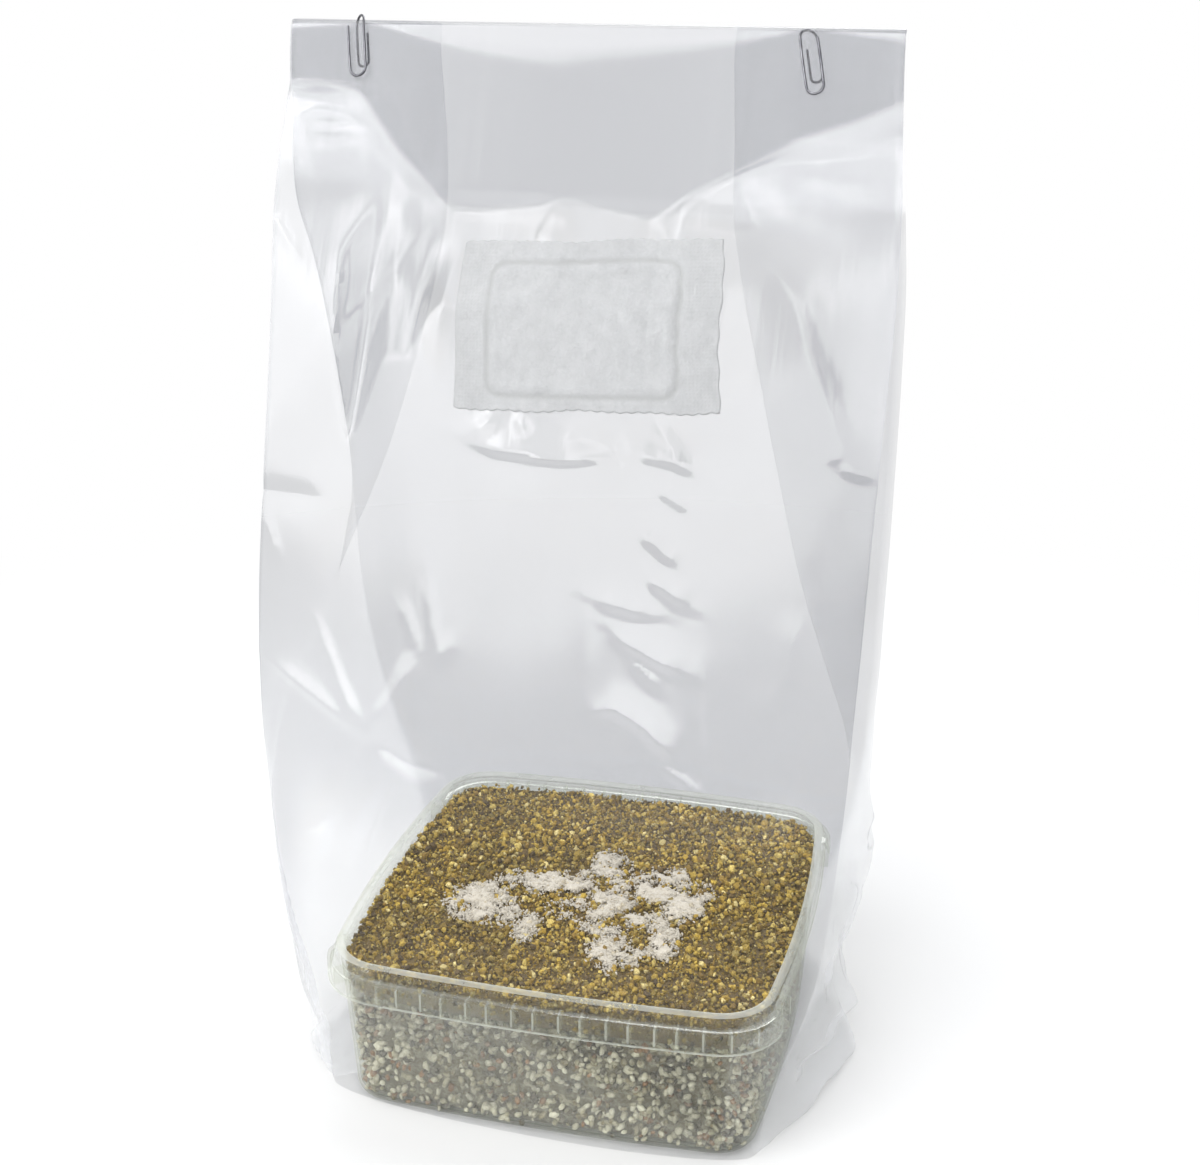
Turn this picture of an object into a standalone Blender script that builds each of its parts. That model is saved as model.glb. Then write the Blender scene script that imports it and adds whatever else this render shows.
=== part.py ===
"""Oyster mushroom grow bag: a clear gusseted film bag, folded over and clipped at the top, that
stands over a translucent tub of mycelium-grown grain under a vermiculite casing.

Metres, +Z up, front facing -Y. The origin is under the middle of the bag, on the surface it
stands on. The tub stands a little to the right of the bag's middle.
"""
import math

import bpy
import numpy as np

MM = 0.001

# ---- Bag: film, fold and gussets -------------------------------------------------------------
FILM = 0.35 * MM              # stand-in thickness of the film, about four times the real one
LAYER_GAP = 0.40 * MM         # air between the two halves of a closed gusset
TUBE_GAP = 0.30 * MM          # air between a panel and the gusset half behind it
CREASE = 0.50 * MM            # half width of an open crease
BEND_RADIUS = 1.70 * MM       # middle of the stack where the mouth turns over backwards
BAG_TOP = 400.0 * MM          # top of the fold above the floor
CLOSE_Z = 341.0 * MM          # height where the front and back panels meet
LEAN = math.radians(25.0)     # the closed part leans back from there
FLAP = 28.0 * MM              # mouth folded down behind the bag
FRONT_STEPS = 10              # columns across the front and back panels
SIDE_STEPS = 3                # columns across each half gusset

GUSSET_Q = LAYER_GAP / 2
PANEL_Q = GUSSET_Q + 2 * FILM + TUBE_GAP

# Sections of the open bag, in millimetres: height; front left crease; front right crease;
# left gusset crease; right gusset crease; depth of the panel's middle; fullness of its curve.
STATIONS = [
    (0, -79, -66, 97, -66, -99, -40, 119, 2, 84, 0.5),
    (30, -84, -71, 100, -70, -108, -38, 117, 4, 90, 0.5),
    (48, -89, -74, 105, -73, -112, -37, 116, 3, 95.5, 0.5),
    (66, -92, -73, 108, -72, -114, -35, 116, 2, 95.5, 0.5),
    (100, -99, -67, 113, -66, -118, -27, 117, 0, 92, 0.6),
    (125, -103, -61, 115, -62, -119, -17, 115, 0, 87, 0.7),
    (150, -106, -57, 116, -58, -114, -6, 107, 0, 81, 0.8),
    (170, -107, -54, 116.5, -55, -105, 0, 99, 0, 77, 0.9),
    (200, -108, -50, 117, -50, -92, 0, 88, 0, 70, 1.0),
    (240, -107.5, -42, 117.5, -42, -74, 0, 78, 0, 58, 1.0),
    (280, -107, -30, 118, -31, -60, 0, 70, 0, 42.5, 1.0),
    (315, -108, -16, 117.5, -17, -50, 0, 63, 0, 22.5, 1.0),
    (341, -109.5, -1, 117, -1, -45.5, 0, 59.5, 0, 1.2, 1.0),
]
OPEN_ROWS = (0, 15, 30, 40, 48, 57, 66, 83, 100, 118, 136, 153, 170, 188, 206, 224, 242,
             260, 277, 291, 304, 316, 327, 335)
# The closed part at its foot and at the fold: left edge, right edge, left and right gusset.
CLOSED_FOOT = (-109.5, 117.0, -45.5, 59.5)
CLOSED_HEAD = (-114.0, 113.5, -54.5, 54.5)
CLOSED_STEPS = 2
BEND_STEPS = 6

# ---- Tub: outline of its collar and heights of its rim ----------------------------------------
TUB_X = 9.0 * MM              # the tub's middle in the bag's frame
TUB_HALF_X = 90.0 * MM
TUB_HALF_Y = 87.2 * MM
TUB_CORNER = 18.5 * MM
BOW_X = 6.3 * MM              # how far the left and right sides bow out
BOW_Y = 4.5 * MM              # how far the front and back sides bow out
TUB_BASE = 0.7 * MM
RIM_TOP = 66.6 * MM
FLANGE_TOP = 61.9 * MM
SKIRT_FOOT = 52.4 * MM
TUB_WALL = 1.0 * MM
TUB_FLOOR = 1.2 * MM
WALL_TOP_OFFSET = -2.2 * MM   # outer wall under the flange, measured from the collar
WALL_FOOT_OFFSET = -6.2 * MM
BASE_RADIUS = 4.0 * MM
FLANGE_END_Y = 64.0 * MM      # the skirted flange wraps the corners as far as this
RIB_PITCH = 8.9 * MM
RIB_HALF = 0.55 * MM

# ---- Filling ---------------------------------------------------------------------------------
GAP = 0.3 * MM
GRAIN_TOP = 49.5 * MM
CASING_TOP = 61.6 * MM
PATCHES = {
    # name: middle x, y in the tub; radii x, y; turn; lobes of the outline
    "mycelium_patch_left": (-34, -20, 21, 15, 20, 5),
    "mycelium_patch_centre": (14, 8, 36, 20, -8, 7),
    "mycelium_patch_front": (23, -43, 17, 12, 35, 4),
}
PATCH_THICK = 1.6 * MM

# ---- Filter and clips --------------------------------------------------------------------------
FILTER_X = (-31.0 * MM, 61.5 * MM)
FILTER_Z_LEFT = (275.5 * MM, 326.0 * MM)
FILTER_Z_RIGHT = (278.5 * MM, 330.5 * MM)
FILTER_THICK = 0.45 * MM
WIRE = 0.45 * MM              # radius of the clip wire
CLIP_LENGTH = 25.5 * MM
CLIP_HALF = 3.1 * MM          # from the middle to the outer legs
CLIPS = {
    # name: middle x at the fold, turn of the top to the left in degrees, side that the outer
    # end is on, extra height that the clip stands clear of the fold
    "paper_clip_left": (-85.2 * MM, 5.0, -1, 1.4 * MM),
    "paper_clip_right": (80.2 * MM, 11.0, 1, 0.0),
}


def clear_scene():
    for obj in list(bpy.data.objects):
        bpy.data.objects.remove(obj, do_unlink=True)


def material(name, colour, roughness, metallic=0.0, alpha=1.0):
    mat = bpy.data.materials.new(name)
    mat.use_nodes = True
    shader = mat.node_tree.nodes["Principled BSDF"]
    shader.inputs["Base Color"].default_value = (*colour, 1.0)
    shader.inputs["Roughness"].default_value = roughness
    shader.inputs["Metallic"].default_value = metallic
    shader.inputs["Alpha"].default_value = alpha
    return mat


def add_mesh(name, verts, faces, mat, parent):
    mesh = bpy.data.meshes.new(name)
    mesh.from_pydata([tuple(map(float, v)) for v in verts], [], faces)
    mesh.materials.append(mat)
    mesh.update()
    obj = bpy.data.objects.new(name, mesh)
    bpy.context.scene.collection.objects.link(obj)
    obj.parent = parent
    return obj


def smooth_shade(obj, angle):
    obj.data.shade_smooth()
    obj.data.set_sharp_from_angle(angle=math.radians(angle))


def band(lower, upper, count):
    """Quads between two rings that run the same way round."""
    quads = []
    for i in range(count):
        j = (i + 1) % count
        quads.append((lower + i, lower + j, upper + j, upper + i))
    return quads


def halves(quads):
    """Both triangles of each quad, always cut along the same diagonal."""
    return [face for a, b, c, d in quads for face in ((a, b, c), (a, c, d))]


# ---- Bag ---------------------------------------------------------------------------------------
def station(z_mm):
    """The section's dimensions at a height, in metres, along a smooth curve through STATIONS."""
    table = np.array(STATIONS, dtype=float)
    heights = table[:, 0]
    slopes = np.gradient(table[:, 1:], heights, axis=0)
    k = int(np.clip(np.searchsorted(heights, z_mm, side="right") - 1, 0, len(heights) - 2))
    span = heights[k + 1] - heights[k]
    t = (z_mm - heights[k]) / span
    lower, upper = table[k, 1:], table[k + 1, 1:]
    blend = 3 * t**2 - 2 * t**3
    value = lower + (upper - lower) * blend
    value += span * (t**3 - 2 * t**2 + t) * slopes[k] + span * (t**3 - t**2) * slopes[k + 1]
    value[:-1] *= MM
    return value


def panel(start, end, middle_y, fullness, side):
    """Points of a front (side -1) or back (side 1) panel, bowed out to middle_y."""
    points = []
    for k in range(FRONT_STEPS + 1):
        t = (1 - math.cos(math.pi * k / FRONT_STEPS)) / 2
        chord = start + (end - start) * t
        swell = (1 - (2 * t - 1) ** 2) ** fullness
        depth = middle_y - (abs(start[1]) + abs(end[1])) / 2
        points.append(chord + np.array([0.0, side * depth * swell]))
    return points


def straight(start, end):
    return [start + (end - start) * k / SIDE_STEPS for k in range(SIDE_STEPS + 1)]


def open_section(z_mm):
    """Closed outline of the open bag at a height, counterclockwise from the front left crease."""
    flx, fly, frx, fry, lx, ly, rx, ry, middle, fullness = station(z_mm)
    up = np.array([0.0, CREASE])
    front_left, front_right = np.array([flx, fly]), np.array([frx, fry])
    back_left, back_right = np.array([flx, -fly]), np.array([frx, -fry])
    left, right = np.array([lx, ly]), np.array([rx, ry])
    return (panel(front_left - up, front_right - up, middle, fullness, -1)
            + straight(front_right + up, right - up)
            + straight(right + up, back_right - up)
            + panel(back_right + up, back_left + up, middle, fullness, 1)
            + straight(back_left - up, left + up)
            + straight(left - up, front_left + up))


def closed_section(share):
    """The same outline pressed flat: panels outside, the gusset halves between them."""
    foot, head = np.array(CLOSED_FOOT) * MM, np.array(CLOSED_HEAD) * MM
    left, right, gusset_left, gusset_right = foot + (head - foot) * share
    a, b = PANEL_Q, GUSSET_Q
    front = panel(np.array([left, -a]), np.array([right, -a]), a, 1.0, -1)
    back = [np.array([x, a]) for x, _ in reversed(front)]
    return (front
            + straight(np.array([right, -b]), np.array([gusset_right, -b]))
            + straight(np.array([gusset_right, b]), np.array([right, b]))
            + back
            + straight(np.array([left, b]), np.array([gusset_left, b]))
            + straight(np.array([gusset_left, -b]), np.array([left, -b])))


def inset(outline, amount):
    """The outline moved inwards by the same distance along both edges at each corner."""
    points = np.array(outline)
    edges = np.roll(points, -1, axis=0) - points
    edges /= np.linalg.norm(edges, axis=1)[:, None]
    after = np.stack([edges[:, 1], -edges[:, 0]], axis=1)
    before = np.roll(after, 1, axis=0)
    together = np.maximum(1 + (after * before).sum(axis=1), 0.35)
    return points - amount * (after + before) / together[:, None]


def fold_point():
    """Middle of the stack where the bend begins, as (y, z)."""
    bend_z = BAG_TOP - BEND_RADIUS - PANEL_Q + BEND_RADIUS * math.sin(LEAN)
    return np.array([(bend_z - CLOSE_Z) * math.tan(LEAN), bend_z])


def section_frames():
    """(outline, point, direction) for each row: where the outline's depth axis lies in Y and Z."""
    rows = [(open_section(z), (0.0, z * MM), (1.0, 0.0)) for z in OPEN_ROWS]
    foot, head = np.array([0.0, CLOSE_Z]), fold_point()
    across = np.array([math.cos(LEAN), -math.sin(LEAN)])
    up = np.array([math.sin(LEAN), math.cos(LEAN)])
    for k in range(CLOSED_STEPS):
        share = k / CLOSED_STEPS
        rows.append((closed_section(share), foot + (head - foot) * share, across))
    centre = head + BEND_RADIUS * across
    for k in range(BEND_STEPS + 1):
        turn = LEAN + math.pi * k / BEND_STEPS
        direction = np.array([math.cos(turn), -math.sin(turn)])
        rows.append((closed_section(1.0), centre - BEND_RADIUS * direction, direction))
    rows.append((closed_section(1.0), centre + BEND_RADIUS * across - FLAP * up, -across))
    return rows


def place(outline, point, direction):
    return [(x, point[0] + depth * direction[0], point[1] + depth * direction[1])
            for x, depth in outline]


def make_bag(mat, parent):
    rows = section_frames()
    count = len(rows[0][0])
    verts = []
    for outline, point, direction in rows:
        verts += place(outline, point, direction)
    for index, (outline, point, direction) in enumerate(rows):
        lift = (point[0], point[1] + FILM) if index == 0 else point
        verts += place(inset(outline, FILM), lift, direction)
    inner = len(rows) * count
    faces = []
    for row in range(len(rows) - 1):
        skin = halves(band(row * count, (row + 1) * count, count))
        faces += skin
        faces += [tuple(inner + i for i in reversed(face)) for face in skin]
    mouth = (len(rows) - 1) * count
    faces += band(mouth, inner + mouth, count)
    faces.append(tuple(reversed(range(count))))
    faces.append(tuple(range(inner, inner + count)))
    obj = add_mesh("grow_bag", verts, faces, mat, parent)
    smooth_shade(obj, 50)
    return rows


def make_filter(rows, mat, parent):
    """The filter lies on the front panel: its points follow the panel's own columns and rows."""
    grid = np.array([place(outline[:FRONT_STEPS + 1], point, direction)
                     for outline, point, direction in rows[:len(OPEN_ROWS)]])
    heights = grid[:, 0, 2]

    def on_panel(x, z):
        k = int(np.clip(np.searchsorted(heights, z) - 1, 0, len(heights) - 2))
        t = (z - heights[k]) / (heights[k + 1] - heights[k])
        row = grid[k] * (1 - t) + grid[k + 1] * t
        return np.array([x, np.interp(x, row[:, 0], row[:, 1]), z])

    across = sorted({*FILTER_X, *(x for x in grid[-3, :, 0] if FILTER_X[0] < x < FILTER_X[1])})
    steps = 6
    points = []
    for k in range(steps + 1):
        for x in across:
            side = (x - FILTER_X[0]) / (FILTER_X[1] - FILTER_X[0])
            low = FILTER_Z_LEFT[0] * (1 - side) + FILTER_Z_RIGHT[0] * side
            high = FILTER_Z_LEFT[1] * (1 - side) + FILTER_Z_RIGHT[1] * side
            points.append(on_panel(x, low + (high - low) * k / steps))
    points = np.array(points)
    normal = np.array([0.0, -0.86, 0.51])
    width = len(across)
    back = points + normal * 2 * GAP
    front = points + normal * (2 * GAP + FILTER_THICK)
    total = len(points)
    faces = []
    for row in range(steps):
        for column in range(width - 1):
            a = row * width + column
            quad = (a, a + 1, a + width + 1, a + width)
            faces.append(tuple(total + i for i in quad))
            faces.append(tuple(reversed(quad)))
    rim = [*range(width), *(width - 1 + width * k for k in range(1, steps + 1)),
           *(total - 2 - k for k in range(width - 1)), *(width * k for k in range(steps - 1, 0, -1))]
    for k, a in enumerate(rim):
        b = rim[(k + 1) % len(rim)]
        faces.append((a, b, total + b, total + a))
    obj = add_mesh("filter_patch", np.concatenate([back, front]), faces, mat, parent)
    smooth_shade(obj, 40)


# ---- Paper clips -------------------------------------------------------------------------------
def clip_path(outer_side, extra):
    """Centre line of a wire clip: outer loop in front of the fold, inner loop behind the flap."""
    reach = BEND_RADIUS + PANEL_Q + GAP + WIRE
    front, back = BEND_RADIUS - reach, BEND_RADIUS + reach
    inner_right, inner_left = 2.3 * MM, -1.9 * MM
    top = extra + reach - BEND_RADIUS - PANEL_Q
    big_z = top - (CLIP_LENGTH - 2 * WIRE - CLIP_HALF)
    small = (inner_right - inner_left) / 2
    small_z = top - 16.6 * MM
    path = [(CLIP_HALF, front, top - 5.0 * MM), (CLIP_HALF, front, big_z / 2)]
    for k in range(9):
        turn = math.pi * k / 8
        path.append((CLIP_HALF * math.cos(turn), front, big_z - CLIP_HALF * math.sin(turn)))
    path.append((-CLIP_HALF, front, big_z / 2))
    arch_middle, arch_half = (inner_right - CLIP_HALF) / 2, (inner_right + CLIP_HALF) / 2
    arch_foot = -(BEND_RADIUS + PANEL_Q)
    for k in range(11):
        turn = math.pi * k / 10
        path.append((arch_middle - arch_half * math.cos(turn),
                     BEND_RADIUS - reach * math.cos(turn),
                     arch_foot + (reach + extra) * math.sin(turn)))
    middle = (inner_right + inner_left) / 2
    for k in range(7):
        turn = math.pi * k / 6
        path.append((middle + small * math.cos(turn), back, small_z - small * math.sin(turn)))
    path.append((inner_left, back, top - 6.2 * MM))
    return [(outer_side * x, y, z) for x, y, z in path]


def make_clip(name, mat, parent):
    x, turn, outer_side, extra = CLIPS[name]
    curve = bpy.data.curves.new(name, "CURVE")
    curve.dimensions = "3D"
    curve.bevel_depth = WIRE
    curve.bevel_resolution = 2
    curve.use_fill_caps = True
    spline = curve.splines.new("POLY")
    path = clip_path(outer_side, extra)
    spline.points.add(len(path) - 1)
    for point, place_at in zip(spline.points, path):
        point.co = (*place_at, 1.0)
    curve.materials.append(mat)
    obj = bpy.data.objects.new(name, curve)
    bpy.context.scene.collection.objects.link(obj)
    obj.location = (x, 0.0, 0.0)
    obj.rotation_euler = (0.0, -math.radians(turn), 0.0)
    obj.parent = parent


# ---- Tub ---------------------------------------------------------------------------------------
def tub_stations():
    """Directions round the tub as (kind, position): straight sides by x or y, corners by angle."""
    rib_x = [k * RIB_PITCH for k in range(-7, 8)]
    marks = []
    for x in rib_x:
        marks += [("front", x - RIB_HALF, 0), ("front", x, 1), ("front", x + RIB_HALF, 0)]
    corner = [(0.18, 0), (0.24, 1), (0.30, 0), (0.56, 0), (0.62, 1), (0.68, 0), (0.93, 0),
              (0.955, 1), (1.0, 2)]
    side = [("side", s, 2) for s in (-0.72, -0.36, 0.0, 0.36, 0.72)]
    return marks, corner, side


def tub_outline(offset):
    """Rounded outline with bowed sides, grown by offset; points run counterclockwise."""
    half_x, half_y = TUB_HALF_X + offset, TUB_HALF_Y + offset
    radius = max(TUB_CORNER + offset, 6.0 * MM)
    marks, corner, side = tub_stations()
    edge_x = half_x - BOW_X - radius
    edge_y = half_y - BOW_Y - radius
    front = []
    for _, x, kind in marks:
        s = x / (7 * RIB_PITCH + 2 * RIB_HALF)
        px = s * edge_x
        front.append((px, -(half_y - BOW_Y * (px / half_x) ** 2), kind))
    start = np.array([edge_x, -(half_y - BOW_Y * (edge_x / half_x) ** 2)])
    stop = np.array([half_x - BOW_X * (edge_y / half_y) ** 2, -edge_y])
    handle = 0.5523
    reach = stop - start
    lean_front = np.array([1.0, 2 * BOW_Y * edge_x / half_x**2])
    lean_side = np.array([2 * BOW_X * edge_y / half_y**2, 1.0])
    p1 = start + lean_front * reach[0] * handle
    p2 = stop - lean_side * reach[1] * handle
    turn = []
    for t, kind in corner:
        point = ((1 - t) ** 3 * start + 3 * t * (1 - t) ** 2 * p1
                 + 3 * t**2 * (1 - t) * p2 + t**3 * stop)
        turn.append((point[0], point[1], kind))
    flank = [(half_x - BOW_X * s**2 * (edge_y / half_y) ** 2, s * edge_y, kind) for _, s, kind in side]
    back_turn = [(x, -y, kind) for x, y, kind in reversed(turn)]
    right = turn + flank + back_turn
    back = [(-x, -y, kind) for x, y, kind in front]
    left = [(-x, -y, kind) for x, y, kind in right]
    return front + right + back + left


def tub_ring(offset, height, plain_offset=None, plain_height=None, rib_offset=None, rib_height=None):
    """One ring of the tub; the flange's rings differ at the ribs (kind 1) and on the sides (2)."""
    ring = [(x, y, height) for x, y, _ in tub_outline(offset)]
    kinds = [kind for _, _, kind in tub_outline(offset)]
    if plain_offset is not None:
        for k, (x, y, _) in enumerate(tub_outline(plain_offset)):
            if kinds[k] == 2:
                ring[k] = (x, y, plain_height)
    if rib_offset is not None:
        for k, (x, y, _) in enumerate(tub_outline(rib_offset)):
            if kinds[k] == 1:
                ring[k] = (x, y, rib_height)
    return ring


def make_tub(mat, parent):
    wall_slope = (WALL_TOP_OFFSET - WALL_FOOT_OFFSET) / (FLANGE_TOP - TUB_BASE - BASE_RADIUS)
    foot = TUB_BASE + BASE_RADIUS

    def wall(z):
        return WALL_FOOT_OFFSET + wall_slope * (z - foot)

    under = FLANGE_TOP - 1.1 * MM
    low = SKIRT_FOOT + 0.4 * MM
    plain_low = FLANGE_TOP - 2.0 * MM
    inner_floor = TUB_BASE + TUB_FLOOR
    rings = [
        tub_ring(WALL_FOOT_OFFSET - 3.6 * MM, TUB_BASE),
        tub_ring(WALL_FOOT_OFFSET - 1.3 * MM, TUB_BASE + 1.1 * MM),
        tub_ring(WALL_FOOT_OFFSET, foot),
        tub_ring(wall(low), low),
        tub_ring(wall(under), under, wall(under), plain_low + 0.3 * MM, wall(low), low + 0.3 * MM),
        tub_ring(2.0 * MM, under - 0.1 * MM, wall(under) + 0.3 * MM, plain_low + 0.2 * MM,
                 2.0 * MM, low + 0.3 * MM),
        tub_ring(2.1 * MM, SKIRT_FOOT + 0.1 * MM, 0.1 * MM, plain_low, 2.1 * MM, SKIRT_FOOT + 0.1 * MM),
        tub_ring(3.0 * MM, SKIRT_FOOT, 0.7 * MM, plain_low),
        tub_ring(2.9 * MM, FLANGE_TOP, 0.6 * MM, FLANGE_TOP),
        tub_ring(0.1 * MM, FLANGE_TOP + 0.2 * MM),
        tub_ring(0.0, RIM_TOP - 1.8 * MM),
        tub_ring(-1.5 * MM, RIM_TOP),
        tub_ring(WALL_TOP_OFFSET - TUB_WALL, RIM_TOP),
        tub_ring(WALL_FOOT_OFFSET - TUB_WALL, inner_floor + 2.5 * MM),
        tub_ring(WALL_FOOT_OFFSET - TUB_WALL - 2.2 * MM, inner_floor),
    ]
    count = len(rings[0])
    faces = []
    for k in range(len(rings) - 1):
        faces += band(k * count, (k + 1) * count, count)
    faces.append(tuple(reversed(range(count))))
    last = (len(rings) - 1) * count
    faces.append(tuple(range(last, last + count)))
    verts = [point for ring in rings for point in ring]
    obj = add_mesh("tub", verts, faces, mat, parent)
    smooth_shade(obj, 35)


def inner_offset(z):
    """Offset of the tub's inner wall at a height."""
    low = TUB_BASE + TUB_FLOOR + 2.5 * MM
    t = (z - low) / (RIM_TOP - low)
    foot = WALL_FOOT_OFFSET - TUB_WALL
    return foot + (WALL_TOP_OFFSET - TUB_WALL - foot) * t


def coarse_ring(offset, z):
    """Every third point of the tub's straight sides and all of its corners: enough for a filling."""
    outline = tub_outline(offset)
    kept = [point for point in outline if point[2] == 2 or point[2] == 1]
    return [(x, y, z) for x, y, _ in kept]


def make_filling(name, levels, mat, parent):
    """A solid that fills the tub between its lowest and highest level."""
    rings = [coarse_ring(offset, z) for offset, z in levels]
    count = len(rings[0])
    faces = []
    for k in range(len(rings) - 1):
        faces += band(k * count, (k + 1) * count, count)
    faces.append(tuple(reversed(range(count))))
    faces.append(tuple(range((len(rings) - 1) * count, len(rings) * count)))
    obj = add_mesh(name, [point for ring in rings for point in ring], faces, mat, parent)
    smooth_shade(obj, 40)


def make_patch(name, mat, parent):
    """A low irregular mound of mycelium lying on the casing."""
    x0, y0, radius_x, radius_y, turn, lobes = PATCHES[name]
    sides = 40
    rings = []
    for shrink, height in ((1.0, 0.0), (1.03, 0.35), (0.97, 0.75), (0.82, 1.0), (0.45, 1.0)):
        ring = []
        for k in range(sides):
            angle = 2 * math.pi * k / sides
            wave = 1 + 0.16 * math.sin(lobes * angle + 1.3) + 0.07 * math.sin((lobes + 4) * angle)
            px = radius_x * shrink * wave * math.cos(angle)
            py = radius_y * shrink * wave * math.sin(angle)
            bump = 0.18 * math.sin(3 * angle + lobes) if height > 0.7 else 0.0
            spin = math.radians(turn)
            ring.append(((x0 + px * math.cos(spin) - py * math.sin(spin)) * MM,
                         (y0 + px * math.sin(spin) + py * math.cos(spin)) * MM,
                         CASING_TOP + GAP + PATCH_THICK * (height + bump)))
        rings.append(ring)
    faces = []
    for k in range(len(rings) - 1):
        faces += band(k * sides, (k + 1) * sides, sides)
    faces.append(tuple(reversed(range(sides))))
    verts = [point for ring in rings for point in ring]
    verts.append((x0 * MM, y0 * MM, CASING_TOP + GAP + 1.1 * PATCH_THICK))
    top = (len(rings) - 1) * sides
    faces += [(top + k, top + (k + 1) % sides, len(verts) - 1) for k in range(sides)]
    obj = add_mesh(name, verts, faces, mat, parent)
    smooth_shade(obj, 60)


def main():
    clear_scene()
    stand = bpy.data.objects.new("bag_middle", None)
    bpy.context.scene.collection.objects.link(stand)
    tub_middle = bpy.data.objects.new("tub_middle", None)
    bpy.context.scene.collection.objects.link(tub_middle)
    tub_middle.parent = stand
    tub_middle.location = (TUB_X, 0.0, 0.0)

    film = material("film", (0.86, 0.87, 0.88), 0.12, alpha=0.25)
    rows = make_bag(film, stand)
    make_filter(rows, material("nonwoven", (0.80, 0.81, 0.80), 0.85), stand)
    fold = bpy.data.objects.new("fold_line", None)
    bpy.context.scene.collection.objects.link(fold)
    fold.parent = stand
    head_y, head_z = fold_point() + (BEND_RADIUS + PANEL_Q) * np.array([math.sin(LEAN), math.cos(LEAN)])
    fold.location = (0.0, head_y, head_z)
    fold.rotation_euler = (-LEAN, 0.0, 0.0)
    steel = material("steel_wire", (0.62, 0.62, 0.64), 0.22, metallic=1.0)
    for name in CLIPS:
        make_clip(name, steel, fold)

    make_tub(material("tub_plastic", (0.72, 0.74, 0.70), 0.30, alpha=0.45), tub_middle)
    floor = TUB_BASE + TUB_FLOOR + GAP
    make_filling("grain_substrate", [
        (WALL_FOOT_OFFSET - TUB_WALL - 2.8 * MM, floor),
        (inner_offset(floor + 2.5 * MM) - GAP, floor + 2.6 * MM),
        (inner_offset(GRAIN_TOP) - GAP, GRAIN_TOP),
    ], material("grain", (0.62, 0.60, 0.52), 0.85), tub_middle)
    make_filling("vermiculite_casing", [
        (inner_offset(GRAIN_TOP + GAP) - GAP, GRAIN_TOP + GAP),
        (inner_offset(CASING_TOP - 1.2 * MM) - GAP, CASING_TOP - 1.2 * MM),
        (inner_offset(CASING_TOP) - 3.0 * MM, CASING_TOP),
    ], material("vermiculite", (0.42, 0.30, 0.14), 0.80), tub_middle)
    mycelium = material("mycelium", (0.78, 0.74, 0.68), 0.90)
    for name in PATCHES:
        make_patch(name, mycelium, tub_middle)
    bpy.context.view_layer.update()


main()
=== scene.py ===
"""Oyster mushroom grow bag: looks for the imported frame. Metres, +Z up, front facing -Y."""
import math

import bpy
import numpy as np
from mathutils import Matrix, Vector


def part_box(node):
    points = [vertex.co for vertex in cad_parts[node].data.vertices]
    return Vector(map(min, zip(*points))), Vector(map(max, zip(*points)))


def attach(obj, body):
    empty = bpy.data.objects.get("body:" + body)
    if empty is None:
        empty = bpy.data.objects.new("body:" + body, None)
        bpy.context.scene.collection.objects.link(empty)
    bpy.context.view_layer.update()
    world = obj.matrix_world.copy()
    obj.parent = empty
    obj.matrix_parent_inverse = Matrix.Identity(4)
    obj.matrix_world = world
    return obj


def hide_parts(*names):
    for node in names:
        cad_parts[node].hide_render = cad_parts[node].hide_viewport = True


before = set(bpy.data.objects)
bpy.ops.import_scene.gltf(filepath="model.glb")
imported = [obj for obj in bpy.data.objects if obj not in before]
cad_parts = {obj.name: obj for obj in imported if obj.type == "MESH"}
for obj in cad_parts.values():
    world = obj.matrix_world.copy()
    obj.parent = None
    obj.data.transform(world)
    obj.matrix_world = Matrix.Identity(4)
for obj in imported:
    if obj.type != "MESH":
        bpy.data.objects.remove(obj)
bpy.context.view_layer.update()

MM = 0.001

# ---- Sizes in millimetres, as in the frame ----
TUB_X = 9.0  # the tub stands a little to the right in the bag
LEAN = math.radians(25.0)  # how far the closed top leans back
BAG_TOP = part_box("grow_bag")[1][2] * 1000
BEND_R = 1.1  # radius of the mouth's fold
FLAP = 28.0  # length of the flap behind the fold
PRESSED = 0.45  # depth of a panel where both are pressed together
GUSSET_GAP = 0.35  # how far each half of a gusset stands off its crease
WIRE = 0.45  # radius of a clip's wire
SHARP = math.radians(50)  # edges sharper than this are shaded as edges


# ---- Small tools ----
def smooth(a, b, t):
    """A soft step from 0 at a to 1 at b."""
    t = np.clip((np.asarray(t, dtype=float) - a) / (b - a), 0.0, 1.0)
    return t * t * (3 - 2 * t)


def unit(v):
    return v / np.maximum(np.linalg.norm(v, axis=-1, keepdims=True), 1e-12)


def hash_noise(seed, cells=64):
    """A smooth periodic 2-D noise in -1..1, as a function of (u, v)."""
    table = np.random.default_rng(seed).uniform(-1, 1, (cells, cells))

    def value(u, v):
        u, v = np.asarray(u, dtype=float), np.asarray(v, dtype=float)
        i, j = np.floor(u).astype(int), np.floor(v).astype(int)
        fu, fv = u - i, v - j
        fu, fv = fu * fu * (3 - 2 * fu), fv * fv * (3 - 2 * fv)
        a = table[i % cells, j % cells] * (1 - fu) + table[(i + 1) % cells, j % cells] * fu
        b = (table[i % cells, (j + 1) % cells] * (1 - fu)
             + table[(i + 1) % cells, (j + 1) % cells] * fu)
        return a * (1 - fv) + b * fv
    return value


def ring_faces(rings, count, first_end=True, last_end=False):
    """Quads between closed rings of count points, with a face over either end."""
    i = np.arange(rings - 1)[:, None] * count
    j = np.arange(count)[None, :]
    after = (j + 1) % count
    faces = np.stack([i + j, i + after, i + count + after, i + count + j], -1).reshape(-1, 4).tolist()
    if first_end:
        faces.append(list(range(count))[::-1])
    if last_end:
        faces.append(list(range((rings - 1) * count, rings * count)))
    return faces


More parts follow.
